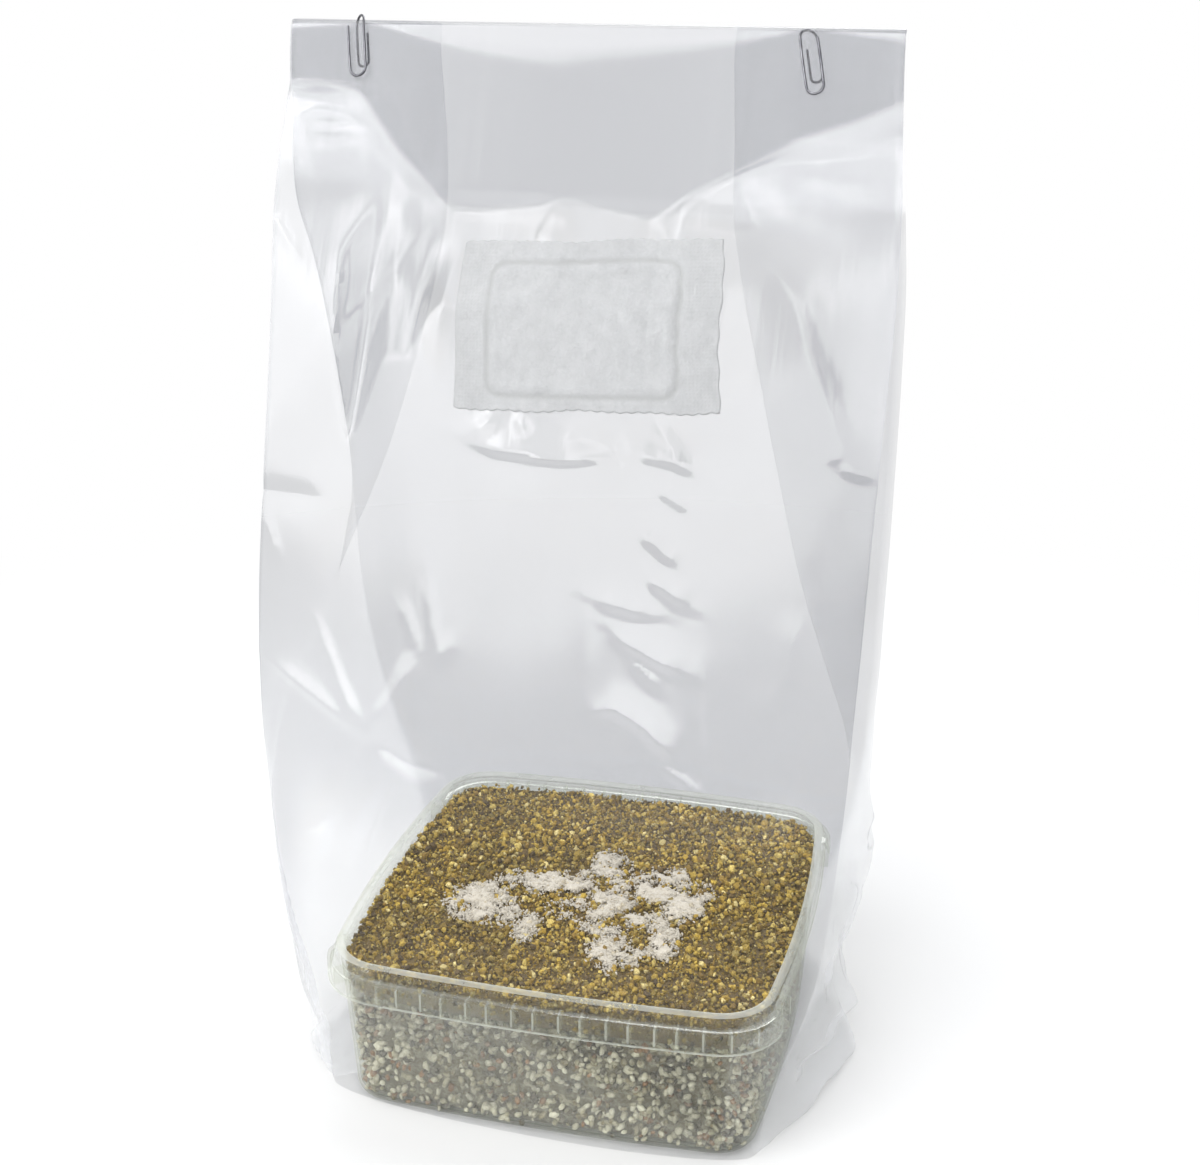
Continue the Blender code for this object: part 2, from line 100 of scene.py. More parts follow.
def add_mesh(name, verts_mm, faces, mats, replaces=(), smooth_shade=True):
    """A new piece of the object, from corners in millimetres."""
    mesh = bpy.data.meshes.new(name)
    verts = np.asarray(verts_mm, dtype=float) * MM
    mesh.from_pydata(verts.tolist(), [], faces if isinstance(faces, list) else faces.tolist())
    for mat in mats:
        mesh.materials.append(mat)
    mesh.update()
    if smooth_shade:
        mesh.shade_smooth()
    obj = bpy.data.objects.new(name, mesh)
    bpy.context.scene.collection.objects.link(obj)
    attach(obj, "root")
    if replaces:
        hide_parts(*replaces)
    return obj


def paint(obj, name, values):
    """A per-vertex value or colour that the material reads by name."""
    values = np.asarray(values, dtype=np.float32)
    if values.ndim == 1:
        layer = obj.data.attributes.new(name, "FLOAT", "POINT")
        layer.data.foreach_set("value", values)
    else:
        layer = obj.data.color_attributes.new(name, "FLOAT_COLOR", "POINT")
        rgba = np.ones((len(values), 4), dtype=np.float32)
        rgba[:, :3] = values
        layer.data.foreach_set("color", rgba.ravel())


class Nodes:
    """A short way to write the nodes of a material or a world."""

    def __init__(self, owner, output="ShaderNodeOutputMaterial"):
        self.owner = owner
        self.owner.use_nodes = True
        self.tree = self.owner.node_tree
        self.tree.nodes.clear()
        self.out = self.new(output)

    def new(self, kind, inputs=None, **settings):
        node = self.tree.nodes.new(kind)
        for key, value in settings.items():
            setattr(node, key, value)
        for key, value in (inputs or {}).items():
            socket = node.inputs[key]
            if isinstance(value, bpy.types.NodeSocket):
                self.tree.links.new(value, socket)
            else:
                socket.default_value = value
        return node

    def surface(self, socket):
        self.tree.links.new(socket, self.out.inputs["Surface"])
        return self.owner

    def shader(self, kind, inputs):
        return self.new("ShaderNode" + kind, inputs).outputs[0]

    def blend(self, share, a, b):
        return self.shader("MixShader", {0: share, 1: a, 2: b})

    def math(self, kind, a, b, clamp=False):
        return self.new("ShaderNodeMath", {0: a, 1: b}, operation=kind, use_clamp=clamp).outputs[0]

    def times(self, a, b):
        return self.math("MULTIPLY", a, b)

    def plus(self, a, b, clamp=False):
        return self.math("ADD", a, b, clamp)

    def facing(self, inputs):
        """0 where a surface is seen squarely, 1 at its outline."""
        return self.new("ShaderNodeLayerWeight", {"Blend": 0.5, **inputs}).outputs["Facing"]

    def painted(self, name):
        """A value painted on the corners."""
        return self.new("ShaderNodeAttribute", attribute_name=name).outputs["Fac"]

    def painted_colour(self):
        return self.new("ShaderNodeVertexColor", layer_name="tint").outputs["Color"]

    def coords(self, scale=(1, 1, 1)):
        where = self.new("ShaderNodeTexCoord").outputs["Object"]
        return self.new("ShaderNodeMapping", {"Vector": where, "Scale": scale}).outputs[0]

    def noise(self, scale, detail=3.0, rough=0.5, stretch=(1, 1, 1)):
        return self.new("ShaderNodeTexNoise", {"Vector": self.coords(stretch), "Scale": scale,
                                               "Detail": detail, "Roughness": rough}).outputs["Fac"]

    def ramp(self, fac, stops):
        node = self.new("ShaderNodeValToRGB", {"Fac": fac})
        ramp = node.color_ramp
        while len(ramp.elements) < len(stops):
            ramp.elements.new(0.5)
        for element, (position, colour) in zip(ramp.elements, stops):
            element.position = position
            element.color = (*colour, 1.0)
        return node.outputs["Color"]

    def mix(self, fac, a, b, kind="MIX"):
        node = self.new("ShaderNodeMix", data_type="RGBA", blend_type=kind)
        for key, value in ((0, fac), (6, a), (7, b)):
            if isinstance(value, bpy.types.NodeSocket):
                self.tree.links.new(value, node.inputs[key])
            else:
                node.inputs[key].default_value = value if key == 0 else (*value, 1.0)
        return node.outputs[2]

    def bump(self, height, strength, distance):
        return self.shader("Bump", {"Height": height, "Strength": strength, "Distance": distance})


def material_nodes(name):
    return Nodes(bpy.data.materials.new(name))


# ---- The bag's film ----
# height; front left crease x, y; front right crease x, y; left gusset crease x, y; right gusset
# crease x, y; depth of the panel's middle; fullness of its curve
STATIONS = [
    (0, -81.5, -66.5, 90, -72, -100, -46, 118, -1, 82, 0.5),
    (15, -83, -69, 92, -71, -100, -42, 117, 2, 85.5, 0.5),
    (30, -84, -71, 95, -70.5, -103.5, -40, 116, 3, 89.5, 0.5),
    (48, -89, -73, 101, -72, -107, -38, 114.5, 3, 94, 0.5),
    (66, -92, -72, 106.5, -71, -111, -36, 115, 2, 95, 0.5),
    (100, -99, -66, 112, -66, -118, -27, 116.5, 0, 91, 0.65),
    (125, -103, -60, 114, -62, -118.5, -17, 114.5, 0, 86, 0.8),
    (150, -106, -56, 115.5, -57, -113.5, -6, 107, 0, 80, 0.9),
    (170, -107, -53, 116, -54, -105, 0, 100, 0, 76, 0.95),
    (200, -107, -49, 117, -49, -92, 0, 90, 0, 69.5, 1.0),
    (240, -106, -41.5, 118, -41.5, -74, 0, 80, 0, 58.5, 1.0),
    (280, -106, -30.5, 119, -31, -60, 0, 71, 0, 43, 1.0),
    (315, -107, -19, 119.5, -18, -50, 0, 63.5, 0, 22.5, 1.0),
    (341, -109, -9, 118.5, -8, -45.5, 0, 59.5, 0, 2.0, 1.0),
    (356, -109.6, -5.5, 117.2, -6.5, -47, 0, 58.5, 0, 0.5, 1.0),
    (380, -110.8, -1.5, 115, -3.0, -51, 0, 56.2, 0, 0.45, 1.0),
    (392, -112.3, -0.8, 114.2, -1.0, -53.5, 0, 55, 0, 0.45, 1.0),
    (420, -114.2, -0.8, 113.4, -0.8, -55, 0, 54.3, 0, 0.45, 1.0),
]


def station(s):
    """Section sizes along the bag's middle line: a smooth curve through STATIONS."""
    table = np.array(STATIONS, dtype=float)
    at, values = table[:, 0], table[:, 1:]
    slopes = np.gradient(values, at, axis=0)
    k = np.clip(np.searchsorted(at, s, side="right") - 1, 0, len(at) - 2)
    span = (at[k + 1] - at[k])[:, None]
    t = (s - at[k])[:, None] / span
    return (values[k] + (values[k + 1] - values[k]) * (3 * t**2 - 2 * t**3)
            + span * (t**3 - 2 * t**2 + t) * slopes[k] + span * (t**3 - t**2) * slopes[k + 1])


class Spine:
    """The bag's middle line in Y and Z: up, leaning back over the tub, round the fold and down."""

    def __init__(self, bend_from, bend_to):
        step = 0.25
        self.s = np.arange(0, 430, step)
        self.lean = LEAN * smooth(bend_from, bend_to, self.s)
        self.y = np.concatenate([[0], np.cumsum(np.sin(self.lean[:-1]) * step)])
        self.z = np.concatenate([[0], np.cumsum(np.cos(self.lean[:-1]) * step)])
        top = BAG_TOP - 0.6 - BEND_R + BEND_R * math.sin(LEAN)
        self.fold = float(np.interp(top, self.z, self.s))
        self.length = self.fold + math.pi * BEND_R + FLAP

    def at(self, s):
        """Points (y, z) and depth directions (y, z) along the line."""
        s = np.asarray(s, dtype=float)
        up_s = np.minimum(s, self.fold)
        y, z = np.interp(up_s, self.s, self.y), np.interp(up_s, self.s, self.z)
        turn = np.interp(up_s, self.s, self.lean)
        bend = np.clip((s - self.fold) / BEND_R, 0, math.pi)
        cy = y + BEND_R * np.cos(turn)
        cz = z - BEND_R * np.sin(turn)
        angle = turn + bend
        dy, dz = np.cos(angle), -np.sin(angle)
        past = np.maximum(s - self.fold - math.pi * BEND_R, 0)
        py = np.where(s > self.fold, cy - BEND_R * dy, y) - past * np.sin(turn)
        pz = np.where(s > self.fold, cz - BEND_R * dz, z) - past * np.cos(turn)
        return py, pz, dy, dz


spine = Spine(333, 347)
side_spine = Spine(314, 366)


def middle_share(x):
    """1 in the middle of the panels, 0 at the sides, where the bag bends back more gently."""
    return smooth(-72, -42, x) * smooth(88, 58, x)


def place(x, s, depth):
    """World points of the film at x, the length s up the bag and the depth behind its middle."""
    share = middle_share(x)
    y, z = 0.0, 0.0
    for line, weight in ((spine, share), (side_spine, 1 - share)):
        py, pz, dy, dz = line.at(s)
        y = y + weight * (py + depth * dy)
        z = z + weight * (pz + depth * dz)
    return np.stack([x, y, np.maximum(z, 0.05)], axis=-1)


# Creases of the front panel in (x, height along the panel), millimetres:
# points of the line; height of the ridge (negative for a dent); width above or left of the line;
# width below or right of it
FRONT_CREASES = [
    ([(-44, 337), (-68, 310), (-92, 282), (-103, 262)], 1.3, 6.5, 4.5),
    ([(59, 352), (72, 333), (87, 312), (104, 272), (108, 256)], 1.8, 4.0, 11.0),
    ([(-1, 341), (8, 328)], 1.3, 2.5, 2.5),
    ([(-1, 341), (-9, 327)], 1.0, 2.5, 2.5),
    ([(31, 336), (38, 322), (40, 312)], 1.0, 3.0, 3.0),
    ([(-35, 337), (-36, 322), (-40, 300)], 0.9, 3.0, 2.5),
    ([(-24, 264.5), (-14, 262.5), (10, 261.5), (28, 262)], 2.6, 7.0, 1.3),
    ([(-22, 266), (-14, 274)], 1.2, 2.0, 2.0),
    ([(-6, 275), (-1, 268)], 1.2, 2.0, 2.0),
    ([(10, 270), (28, 266), (32, 258)], -1.6, 4.0, 4.0),
    ([(38, 263.5), (50, 262), (58, 258)], 1.7, 4.5, 1.0),
    ([(42, 274), (50, 266), (52, 258)], 0.8, 1.6, 1.6),
    ([(44, 253.5), (50, 250.5), (57, 246)], 1.1, 3.0, 1.2),
    ([(40, 239), (46, 235), (54, 228)], 1.7, 4.0, 1.3),
    ([(44, 224), (50, 220.5), (58, 214.5)], 1.9, 4.5, 1.4),
    ([(27, 215.5), (36, 213.5), (46, 211)], 1.8, 5.0, 1.4),
    ([(34, 204), (44, 198.5), (58, 191.5)], 2.2, 5.0, 1.5),
    ([(40, 196), (45, 191), (50, 185.5)], 1.2, 2.6, 1.2),
    ([(30, 177), (36, 178.5), (46, 172.5), (57, 161)], 2.8, 5.0, 1.7),
    ([(52, 159.5), (60, 154), (67, 148)], 1.3, 2.5, 1.2),
    ([(22, 257), (23, 220), (26, 190), (28, 158)], 0.8, 2.0, 7.0),
    ([(61, 208), (63, 180), (66, 148)], 0.6, 3.0, 2.0),
    ([(-106, 177), (-84, 168), (-58, 157)], 1.7, 7.0, 1.8),
    ([(-80, 196), (-70, 176), (-58, 157)], 1.2, 1.5, 3.0),
    ([(-38, 192), (-48, 174), (-58, 157)], 1.7, 5.0, 2.0),
    ([(-46, 209), (-41, 199), (-38, 191)], 0.9, 1.5, 1.5),
    ([(-36, 221), (-33, 205), (-30, 191)], 0.9, 1.4, 2.4),
    ([(-33, 222), (-31, 190), (-31, 154)], 0.7, 1.5, 1.5),
    ([(-25.5, 198), (-29, 189)], 0.9, 2.0, 1.5),
    ([(-58, 157), (-70, 128), (-86, 112)], -1.4, 6.0, 6.0),
    ([(-58, 157), (-40, 150), (-25, 150)], -1.2, 5.0, 4.0),
    ([(-110, 237), (-95, 238), (-80, 238.5)], -1.6, 4.0, 2.5),
    ([(-104, 230), (-98, 214)], 0.9, 1.2, 1.6),
    ([(-109, 334), (-98, 321)], 1.2, 2.0, 1.5),
    ([(-106, 355), (-100, 348)], 0.8, 1.2, 1.6),
    ([(101, 264), (110, 268)], 0.8, 2.0, 2.0),
    ([(106, 262), (117, 258)], 1.3, 2.5, 1.5),
    ([(96, 218), (92, 190), (84, 168)], 0.8, 3.0, 6.0),
]


def crease_lift(x, s, creases):
    """Outward lift at (x, s) from a list of creases; sharp at the line, fading at its ends."""
    lift = np.zeros_like(x)
    for points, height, left, right in creases:
        points = np.array(points, dtype=float)
        lengths = np.linalg.norm(np.diff(points, axis=0), axis=1)
        starts = np.concatenate([[0], np.cumsum(lengths)])
        best = np.full(x.shape, 1e9)
        along = np.zeros_like(x)
        side = np.zeros_like(x)
        for k in range(len(points) - 1):
            a, b = points[k], points[k + 1]
            direction = (b - a) / lengths[k]
            px, ps = x - a[0], s - a[1]
            t = np.clip(px * direction[0] + ps * direction[1], 0, lengths[k])
            dx, ds = px - t * direction[0], ps - t * direction[1]
            distance = np.hypot(dx, ds)
            closer = distance < best
            best = np.where(closer, distance, best)
            along = np.where(closer, starts[k] + t, along)
            side = np.where(closer, direction[0] * ps - direction[1] * px, side)
        width = np.where(side > 0, left, right)
        fade = smooth(0, 0.3, along / starts[-1]) * smooth(0, 0.3, 1 - along / starts[-1])
        lift += height * (0.25 + 0.75 * fade) * np.exp(-(best / width) ** 1.25)
    return lift


# how far the fold droops between the clips, along x
DROOP_X = [-114, -95, -85, -80, -70, -56, -32, -12, -8, 5, 23, 41, 59, 70, 76, 84, 95, 114]
DROOP = [2.4, 1.0, 0.2, 0.6, 3.0, 6.0, 9.6, 11.8, 12.0, 10.4, 8.6, 6.6, 4.0, 1.8, 0.4, 0.2, 1.4, 3.4]

# the line below which the panels are pulled apart: (x, height along the bag)
PARTING = [(-125, 382), (-95, 381), (-84, 379), (-65, 356), (-44, 337.5), (-35, 336.6), (-9.5, 339),
           (-0.8, 341.3), (12.5, 339), (31, 336), (47.5, 346.5), (59, 353), (80, 365), (100, 372),
           (125, 384)]

# how far the crumpled gusset creases stand out sideways near the floor: (height, offset)
LEFT_CRUMPLE = [(0, 0.5), (4, -0.5), (10, 4.5), (16, 3.0), (22, -0.5), (30, 2.0), (60, 0.0)]
RIGHT_CRUMPLE = [(0, 0), (3, 1.6), (6, 1.6), (13, -2.5), (18, -4.5), (22.5, 2.8), (25, 2.4), (28, -1.0),
                 (38, -3.5), (48, -4.0), (58, -0.5), (72, 1.6), (84, 4.0), (92, 5.0), (97, 3.0),
                 (108, 0.4), (125, 0)]

swell_noise, ripple_noise, fine_noise = hash_noise(3), hash_noise(5), hash_noise(11)


def parting(x):
    """Height of the parting line at x and the slope that it has there."""
    xs, heights = np.array(PARTING).T
    height = sum(np.interp(x + d, xs, heights) for d in (-2.5, -1.0, 1.0, 2.5)) / 4
    slope = (np.interp(x + 5, xs, heights) - np.interp(x - 5, xs, heights)) / 10
    return height, slope


def soft_min(a, b, width):
    """The smaller of a and b, rounded where they meet."""
    blend = np.clip(0.5 + (b - a) / (2 * width), 0, 1)
    return b + (a - b) * blend - width * blend * (1 - blend)


def shoulder(x, s):
    """The mouth's fold bulges forward between the clips and bends over along a drooping line."""
    drop = np.interp(x, DROOP_X, DROOP)
    width = 1.3 * drop
    start = drop - width / 2
    below = np.maximum(spine.fold - s, 0)
    u = np.clip((below - start) / width, 0, 1)
    rise = np.minimum(below, start) + width * (u - u**3 + u**4 / 2)
    return 0.26 * rise * smooth(270, 335, s)


def front_lift(x, s):
    """How far the front panel stands out from its plain curve."""
    lift = crease_lift(x, s, FRONT_CREASES)
    open_part = smooth(8, -14, s - parting(x)[0])
    lift = lift * open_part
    lift += 0.55 * swell_noise(x / 31 + 9, s / 55) * smooth(20, 90, s) * open_part
    lift += 0.12 * ripple_noise(x / 9, s / 34 + 5) * smooth(60, 130, s) * open_part
    lift += 1.6 * np.exp(-((x + 97) / 11) ** 2 - ((s - 372) / 6) ** 2)
    lift -= 2.0 * np.exp(-((x + 92) / 9) ** 2 - ((s - 364) / 3.2) ** 2)
    return lift + shoulder(x, s)


def build_film():
    """One sheet: front panel, right gusset, back panel, left gusset, from the floor to the flap."""
    n_front, n_back, n_side = 136, 62, 27
    bends = [(0, 12), (20, 66), (140, 150), (345, 24), (spine.fold - 20, 22), (spine.fold, 7)]
    flap_from = spine.fold + math.pi * BEND_R
    ends = [start for start, _ in bends[1:]] + [flap_from]
    rows = [np.linspace(start, end, n, endpoint=False) for (start, n), end in zip(bends, ends)]
    rows = np.concatenate(rows + [np.linspace(flap_from, spine.length, 9)])
    table = station(rows)
    flx, fly, frx, fry, lx, ly, rx, ry, middle, fullness = (table[:, [k]] for k in range(10))
    s = rows[:, None]
    lx = lx + np.interp(s, *zip(*LEFT_CRUMPLE))
    rx = rx + np.interp(s, *zip(*RIGHT_CRUMPLE))

    def panel_depth(x, bow):
        """Depth of a panel on its own side: pressed flat above the parting line."""
        edge = -(fly + (fry - fly) * np.clip((x - flx) / (frx - flx), 0, 1))
        open_depth = edge + (middle + (fly + fry) / 2) * bow - PRESSED
        height, slope = parting(x)
        below = np.maximum(height - s, 0) / np.hypot(1, slope)
        ramp = below * (0.27 + 0.45 * middle_share(x) + 0.006 * below)
        return PRESSED + np.maximum(soft_min(ramp, open_depth, 0.6), 0)

    def panel(start, end, columns):
        t = np.linspace(0, 1, columns)[None, :]
        x = start + (end - start) * t
        return x, panel_depth(x, np.maximum(1 - (2 * t - 1) ** 2, 0) ** fullness)

    front_x, front_depth = panel(flx, frx, n_front)
    front_y = -front_depth - front_lift(front_x, s + 0 * front_x)
    back_x, back_y = panel(frx, flx, n_back)
    back_y = back_y + 0.9 * swell_noise(back_x / 28 + 3, s / 44 + 7) * smooth(330, 250, s)
    back_y += 0.5 * ripple_noise(back_x / 12 + 4, s / 40) * smooth(330, 250, s)

    u = np.linspace(0, 1, n_side)[None, :]
    out = np.sin(math.pi * u)
    full_side = 3.5 * smooth(20, 150, s) * smooth(350, 250, s)

    def half(x0, y0, x1, y1, sag, seed):
        """Half of a gusset, crumpled near the floor."""
        x = x0 + (x1 - x0) * u
        y = y0 + (y1 - y0) * u
        wobble = 0.9 * swell_noise(u * 3 + seed, s / 26) * out * smooth(345, 300, s)
        ridged = 1 - 2 * np.abs(ripple_noise(u * 4 + seed + s / 60, s / 17 + u * 2))
        crush = 3.4 * ridged * out * smooth(135, 30, s)
        return x + sag * full_side * out * 0.5 + wobble + crush, y + wobble * 0.5

    r1x, r1y = half(frx, front_y[:, -1:], rx, ry, 1, 2)
    r2x, r2y = half(rx, ry, frx, back_y[:, :1], 1, 5)
    l1x, l1y = half(flx, back_y[:, -1:], lx, ly, -1, 8)
    l2x, l2y = half(lx, ly, flx, front_y[:, :1], -1, 12)
    x = np.hstack([front_x, r1x[:, 1:], r2x[:, 1:], back_x[:, 1:], l1x[:, 1:], l2x[:, 1:-1]])
    y = np.hstack([front_y, r1y[:, 1:] - GUSSET_GAP, r2y[:, 1:] + GUSSET_GAP, back_y[:, 1:],
                   l1y[:, 1:] + GUSSET_GAP, l2y[:, 1:-1] - GUSSET_GAP])
    zone = np.hstack([np.zeros(n_front), np.ones(2 * n_side - 2), np.full(n_back - 1, 2.0),
                      np.ones(2 * n_side - 3)])
    points = place(x, s + 0 * x, y)
    n_row, n_col = x.shape

    # the bottom: rings that shrink towards the middle of the base
    centre = np.array([TUB_X, 0.0, 0.05])
    rings = [points[0] * (1 - k) + centre * k for k in (0.82, 0.55, 0.28, 0.12)]
    verts = np.concatenate([np.stack(rings).reshape(-1, 3), points.reshape(-1, 3)])
    n_rings = n_row + len(rings)
    faces = ring_faces(n_rings, n_col)

    # painted by region: how grey the film's haze is and, as painted reflection, how strongly it
    # reflects; least in front of the tub, where it lies close, low on the gussets near the floor, where
    # it is painted light over the floor's shade, and none on the flap
    sheet_s = np.concatenate([np.zeros(len(rings)), rows])
    side_veil_and_sheen = 0.40 - 0.28 * smooth(60, 25, sheet_s)[:, None]
    across = (smooth(-98, -78, verts[:, 0]) * smooth(118, 104, verts[:, 0])).reshape(n_rings, n_col)
    near_tub = smooth(152, 108, sheet_s)[:, None] * np.maximum(across, smooth(50, 20, sheet_s)[:, None])
    veil_and_sheen = np.where(zone == 1, side_veil_and_sheen, np.where(zone == 0, 1.0 - 0.72 * near_tub, 1.0))
    in_flap = smooth(spine.fold + 1, spine.fold + 3, sheet_s)[:, None]
    veil_and_sheen = veil_and_sheen * (1 - in_flap)
    # painted shade: greyer and less glossy where both panels are pressed together; frosted where the
    # gussets are crumpled
    x, s = verts[:, 0].reshape(n_rings, n_col), sheet_s[:, None]
    drop = np.interp(x, DROOP_X, DROOP)
    pressed_shade = smooth(-1.5, 1.5, s - parting(x)[0]) * smooth(0.6 * drop, 1.5 * drop + 0.5, spine.fold - s)
    frost = np.where(zone == 1, smooth(125, 60, s), 0.0)
    return verts, faces, (veil_and_sheen, pressed_shade, frost), (front_x, rows, points[:, :n_front], front_y)


def film_material():
    """Clear film: greyer and glossier where the painted haze-and-sheen value is strong, duller and
    greyer where the painted shade of the pressed panels is strong.
    """
    n = material_nodes("film")
    veil_and_sheen, pressed_shade, frost = (n.painted(name) for name in ("veil_and_sheen", "pressed_shade", "frost"))
    lines = n.noise(260.0, 2.0, 0.6, stretch=(1, 0, 0.02))
    cloud = n.noise(38.0, 1.0, 0.5, stretch=(1, 1, 0.35))
    bump = n.bump(n.plus(n.times(lines, 0.55), cloud), 0.35, 0.0006)
    steep = n.math("POWER", n.facing({"Normal": bump}), 4.0)
    shine = n.plus(n.times(steep, 0.25), 0.062, clamp=True)
    # painted reflection: the gloss is weakened where the painted haze-and-sheen value is low
    shine = n.times(shine, n.math("POWER", veil_and_sheen, 0.6))
    # painted shade: less reflection and a greyer tint where the panels are pressed together
    shine = n.times(shine, n.math("SUBTRACT", 1.0, n.times(pressed_shade, 0.7)))
    dim = n.times(veil_and_sheen, n.math("SUBTRACT", 1.0, n.times(steep, 0.6)))
    dim = n.times(dim, n.plus(0.86, n.times(pressed_shade, 0.14)))
    tint = n.mix(dim, (1.0, 1.0, 1.0), (0.735, 0.74, 0.755))
    clear = n.shader("BsdfTransparent", {"Color": tint})
    milky = {"Color": (0.92, 0.93, 0.95, 1), "Normal": bump}
    milk = n.blend(0.5, n.shader("BsdfDiffuse", milky), n.shader("BsdfTranslucent", milky))
    gloss = n.shader("BsdfGlossy", {"Color": (1, 1, 1, 1), "Roughness": 0.2, "Normal": bump})
    cloudy = n.plus(n.times(veil_and_sheen, 0.010), n.times(frost, 0.21))
    return n.surface(n.blend(shine, n.blend(cloudy, clear, milk), gloss))


def make_film():
    """The bag; returns its front panel, for the pieces that lie on it."""
    verts, faces, looks, panel = build_film()
    film = add_mesh("bag_film", verts, faces, [film_material()], ["grow_bag"])
    for name, values in zip(("veil_and_sheen", "pressed_shade", "frost"), looks):
        paint(film, name, values.ravel())
    film.data.set_sharp_from_angle(angle=SHARP)
    return panel


# ---- The filter patch ----
def patch_material():
    n = material_nodes("nonwoven")
    fibre = n.noise(900.0, 6.0, 0.7)
    weave = n.noise(240.0, 4.0, 0.6, stretch=(1.0, 1.0, 0.5))
    colour = n.ramp(n.plus(n.times(fibre, 0.5), n.times(weave, 0.5)),
                    [(0.3, (0.355, 0.36, 0.365)), (0.7, (0.47, 0.475, 0.48))])
    colour = n.mix(n.painted("weld"), colour, (0.365, 0.37, 0.37))
    colour = n.mix(n.times(n.painted("dots"), 0.45), colour, (0.34, 0.345, 0.345))
    bump = n.bump(n.plus(fibre, n.times(weave, 1.4)), 0.55, 0.0005)
    cloth = n.shader("BsdfPrincipled", {"Base Color": colour, "Roughness": 0.85, "Normal": bump})
    glow = n.shader("BsdfTranslucent", {"Color": (0.47, 0.47, 0.48, 1), "Normal": bump})
    return n.surface(n.blend(0.35, cloth, glow))


def make_patch(panel):
    """A rectangle of filter cloth lying on the front panel, with cut edges and a weld band."""
    front_x, rows, grid, _ = panel
    wide, high = 93.0, 57.5
    columns, lines = 150, 94
    u, v = np.meshgrid(np.linspace(0, 1, columns), np.linspace(0, 1, lines))
    low = 275.2 + 3.2 * u
    top = 326.6 + 4.4 * u
    scallop = 0.55 * np.abs(np.sin(math.pi * u * wide / 4.1))
    wavy = 0.35 * np.sin(u * 9.0) + 0.25 * np.sin(u * 23.0)
    sheet_s = low + (top - low) * v
    sheet_s += (scallop + wavy * 0.5) * smooth(0.93, 1.0, v) - (scallop + wavy) * smooth(0.07, 0.0, v)
    left = -30.2 - 4.6 * v + 0.35 * np.sin(v * 7.0)
    right = 63.4 - 4.6 * v + 0.5 * np.sin(v * 9.0 + 1) + 0.3 * np.sin(v * 31.0)
    x = left + (right - left) * u
    k = np.clip(np.searchsorted(rows, sheet_s) - 1, 0, len(rows) - 2)
    t = (sheet_s - rows[k]) / (rows[k + 1] - rows[k])
    share = (x - front_x[k, 0]) / (front_x[k, -1] - front_x[k, 0]) * (front_x.shape[1] - 1)
    c = np.clip(share.astype(int), 0, front_x.shape[1] - 2)
    f = (share - c)[..., None]
    t = t[..., None]
    points = ((grid[k, c] * (1 - f) + grid[k, c + 1] * f) * (1 - t)
              + (grid[k + 1, c] * (1 - f) + grid[k + 1, c + 1] * f) * t)
    normal = unit(np.cross(np.gradient(points, axis=1), np.gradient(points, axis=0)))
    px, pz = u * wide, v * high

    def rounded(inset_left, inset_right, inset_low, inset_top, radius):
        """Distance outside a rounded rectangle drawn on the cloth."""
        cx, cz = (inset_left + wide - inset_right) / 2, (inset_low + high - inset_top) / 2
        hx, hz = (wide - inset_right - inset_left) / 2, (high - inset_top - inset_low) / 2
        qx, qz = np.abs(px - cx) - hx + radius, np.abs(pz - cz) - hz + radius
        outside = np.hypot(np.maximum(qx, 0), np.maximum(qz, 0))
        return outside + np.minimum(np.maximum(qx, qz), 0) - radius

    band = rounded(12.5, 15.2, 5.6, 7.6, 4.5)
    weld = np.exp(-((band - 0.9) / 1.0) ** 4)
    lift = 0.35 - 0.28 * weld + 0.35 * np.exp(-((band + 2.2) / 1.6) ** 2)
    lift += 0.16 * fine_noise(px / 2.6, pz / 2.6) + 0.22 * fine_noise(px / 7.0 + 3, pz / 7.0)
    lift *= smooth(-0.2, 0.05, np.minimum(u, 1 - u))
    points = points + normal * lift[..., None]
    i = np.arange(lines - 1)[:, None] * columns
    j = np.arange(columns - 1)[None, :]
    faces = np.stack([i + j, i + j + 1, i + columns + j + 1, i + columns + j], -1).reshape(-1, 4)
    patch = add_mesh("filter_cloth", points.reshape(-1, 3), faces, [patch_material()],
                     ["filter_patch"])
    paint(patch, "weld", weld.ravel())
    # the embossed dots of the two side margins
    lattice = (np.sin(math.pi * (px + pz) / 1.25) * np.sin(math.pi * (px - pz) / 1.25)) > 0.55
    edge = (smooth(13.0, 11.5, px) + smooth(wide - 13, wide - 11, px)) * (band > 2.2)
    paint(patch, "dots", (lattice * edge).ravel())
    thick = patch.modifiers.new("thickness", "SOLIDIFY")
    thick.thickness = 0.25 * MM
    thick.offset = 1.0


# ---- Paper clips ----
def steel_material():
    n = material_nodes("steel_wire")
    scratches = n.noise(1500.0, 2.0, 0.5, stretch=(1, 1, 0.05))
    wear = n.noise(180.0, 3.0, 0.6)
    rough = n.shader("MapRange", {"Value": wear, "To Min": 0.12, "To Max": 0.32})
    # painted shade: the steel's colour is kept very dark so that the wire reads dark; the wear sets the
    # spread between the two tones
    colour = n.ramp(wear, [(0.35, (0.07, 0.07, 0.08)), (0.65, (0.17, 0.17, 0.18))])
    return n.surface(n.shader("BsdfPrincipled", {
        "Base Color": colour, "Metallic": 1.0, "Roughness": rough,
        "Normal": n.bump(scratches, 0.15, 0.0001)}))


def half_turn(steps, first=0):
    """Angles of a bend of 180 degrees; first leaves out as many at both ends."""
    return [math.pi * k / steps for k in range(first, steps + 1 - first)]


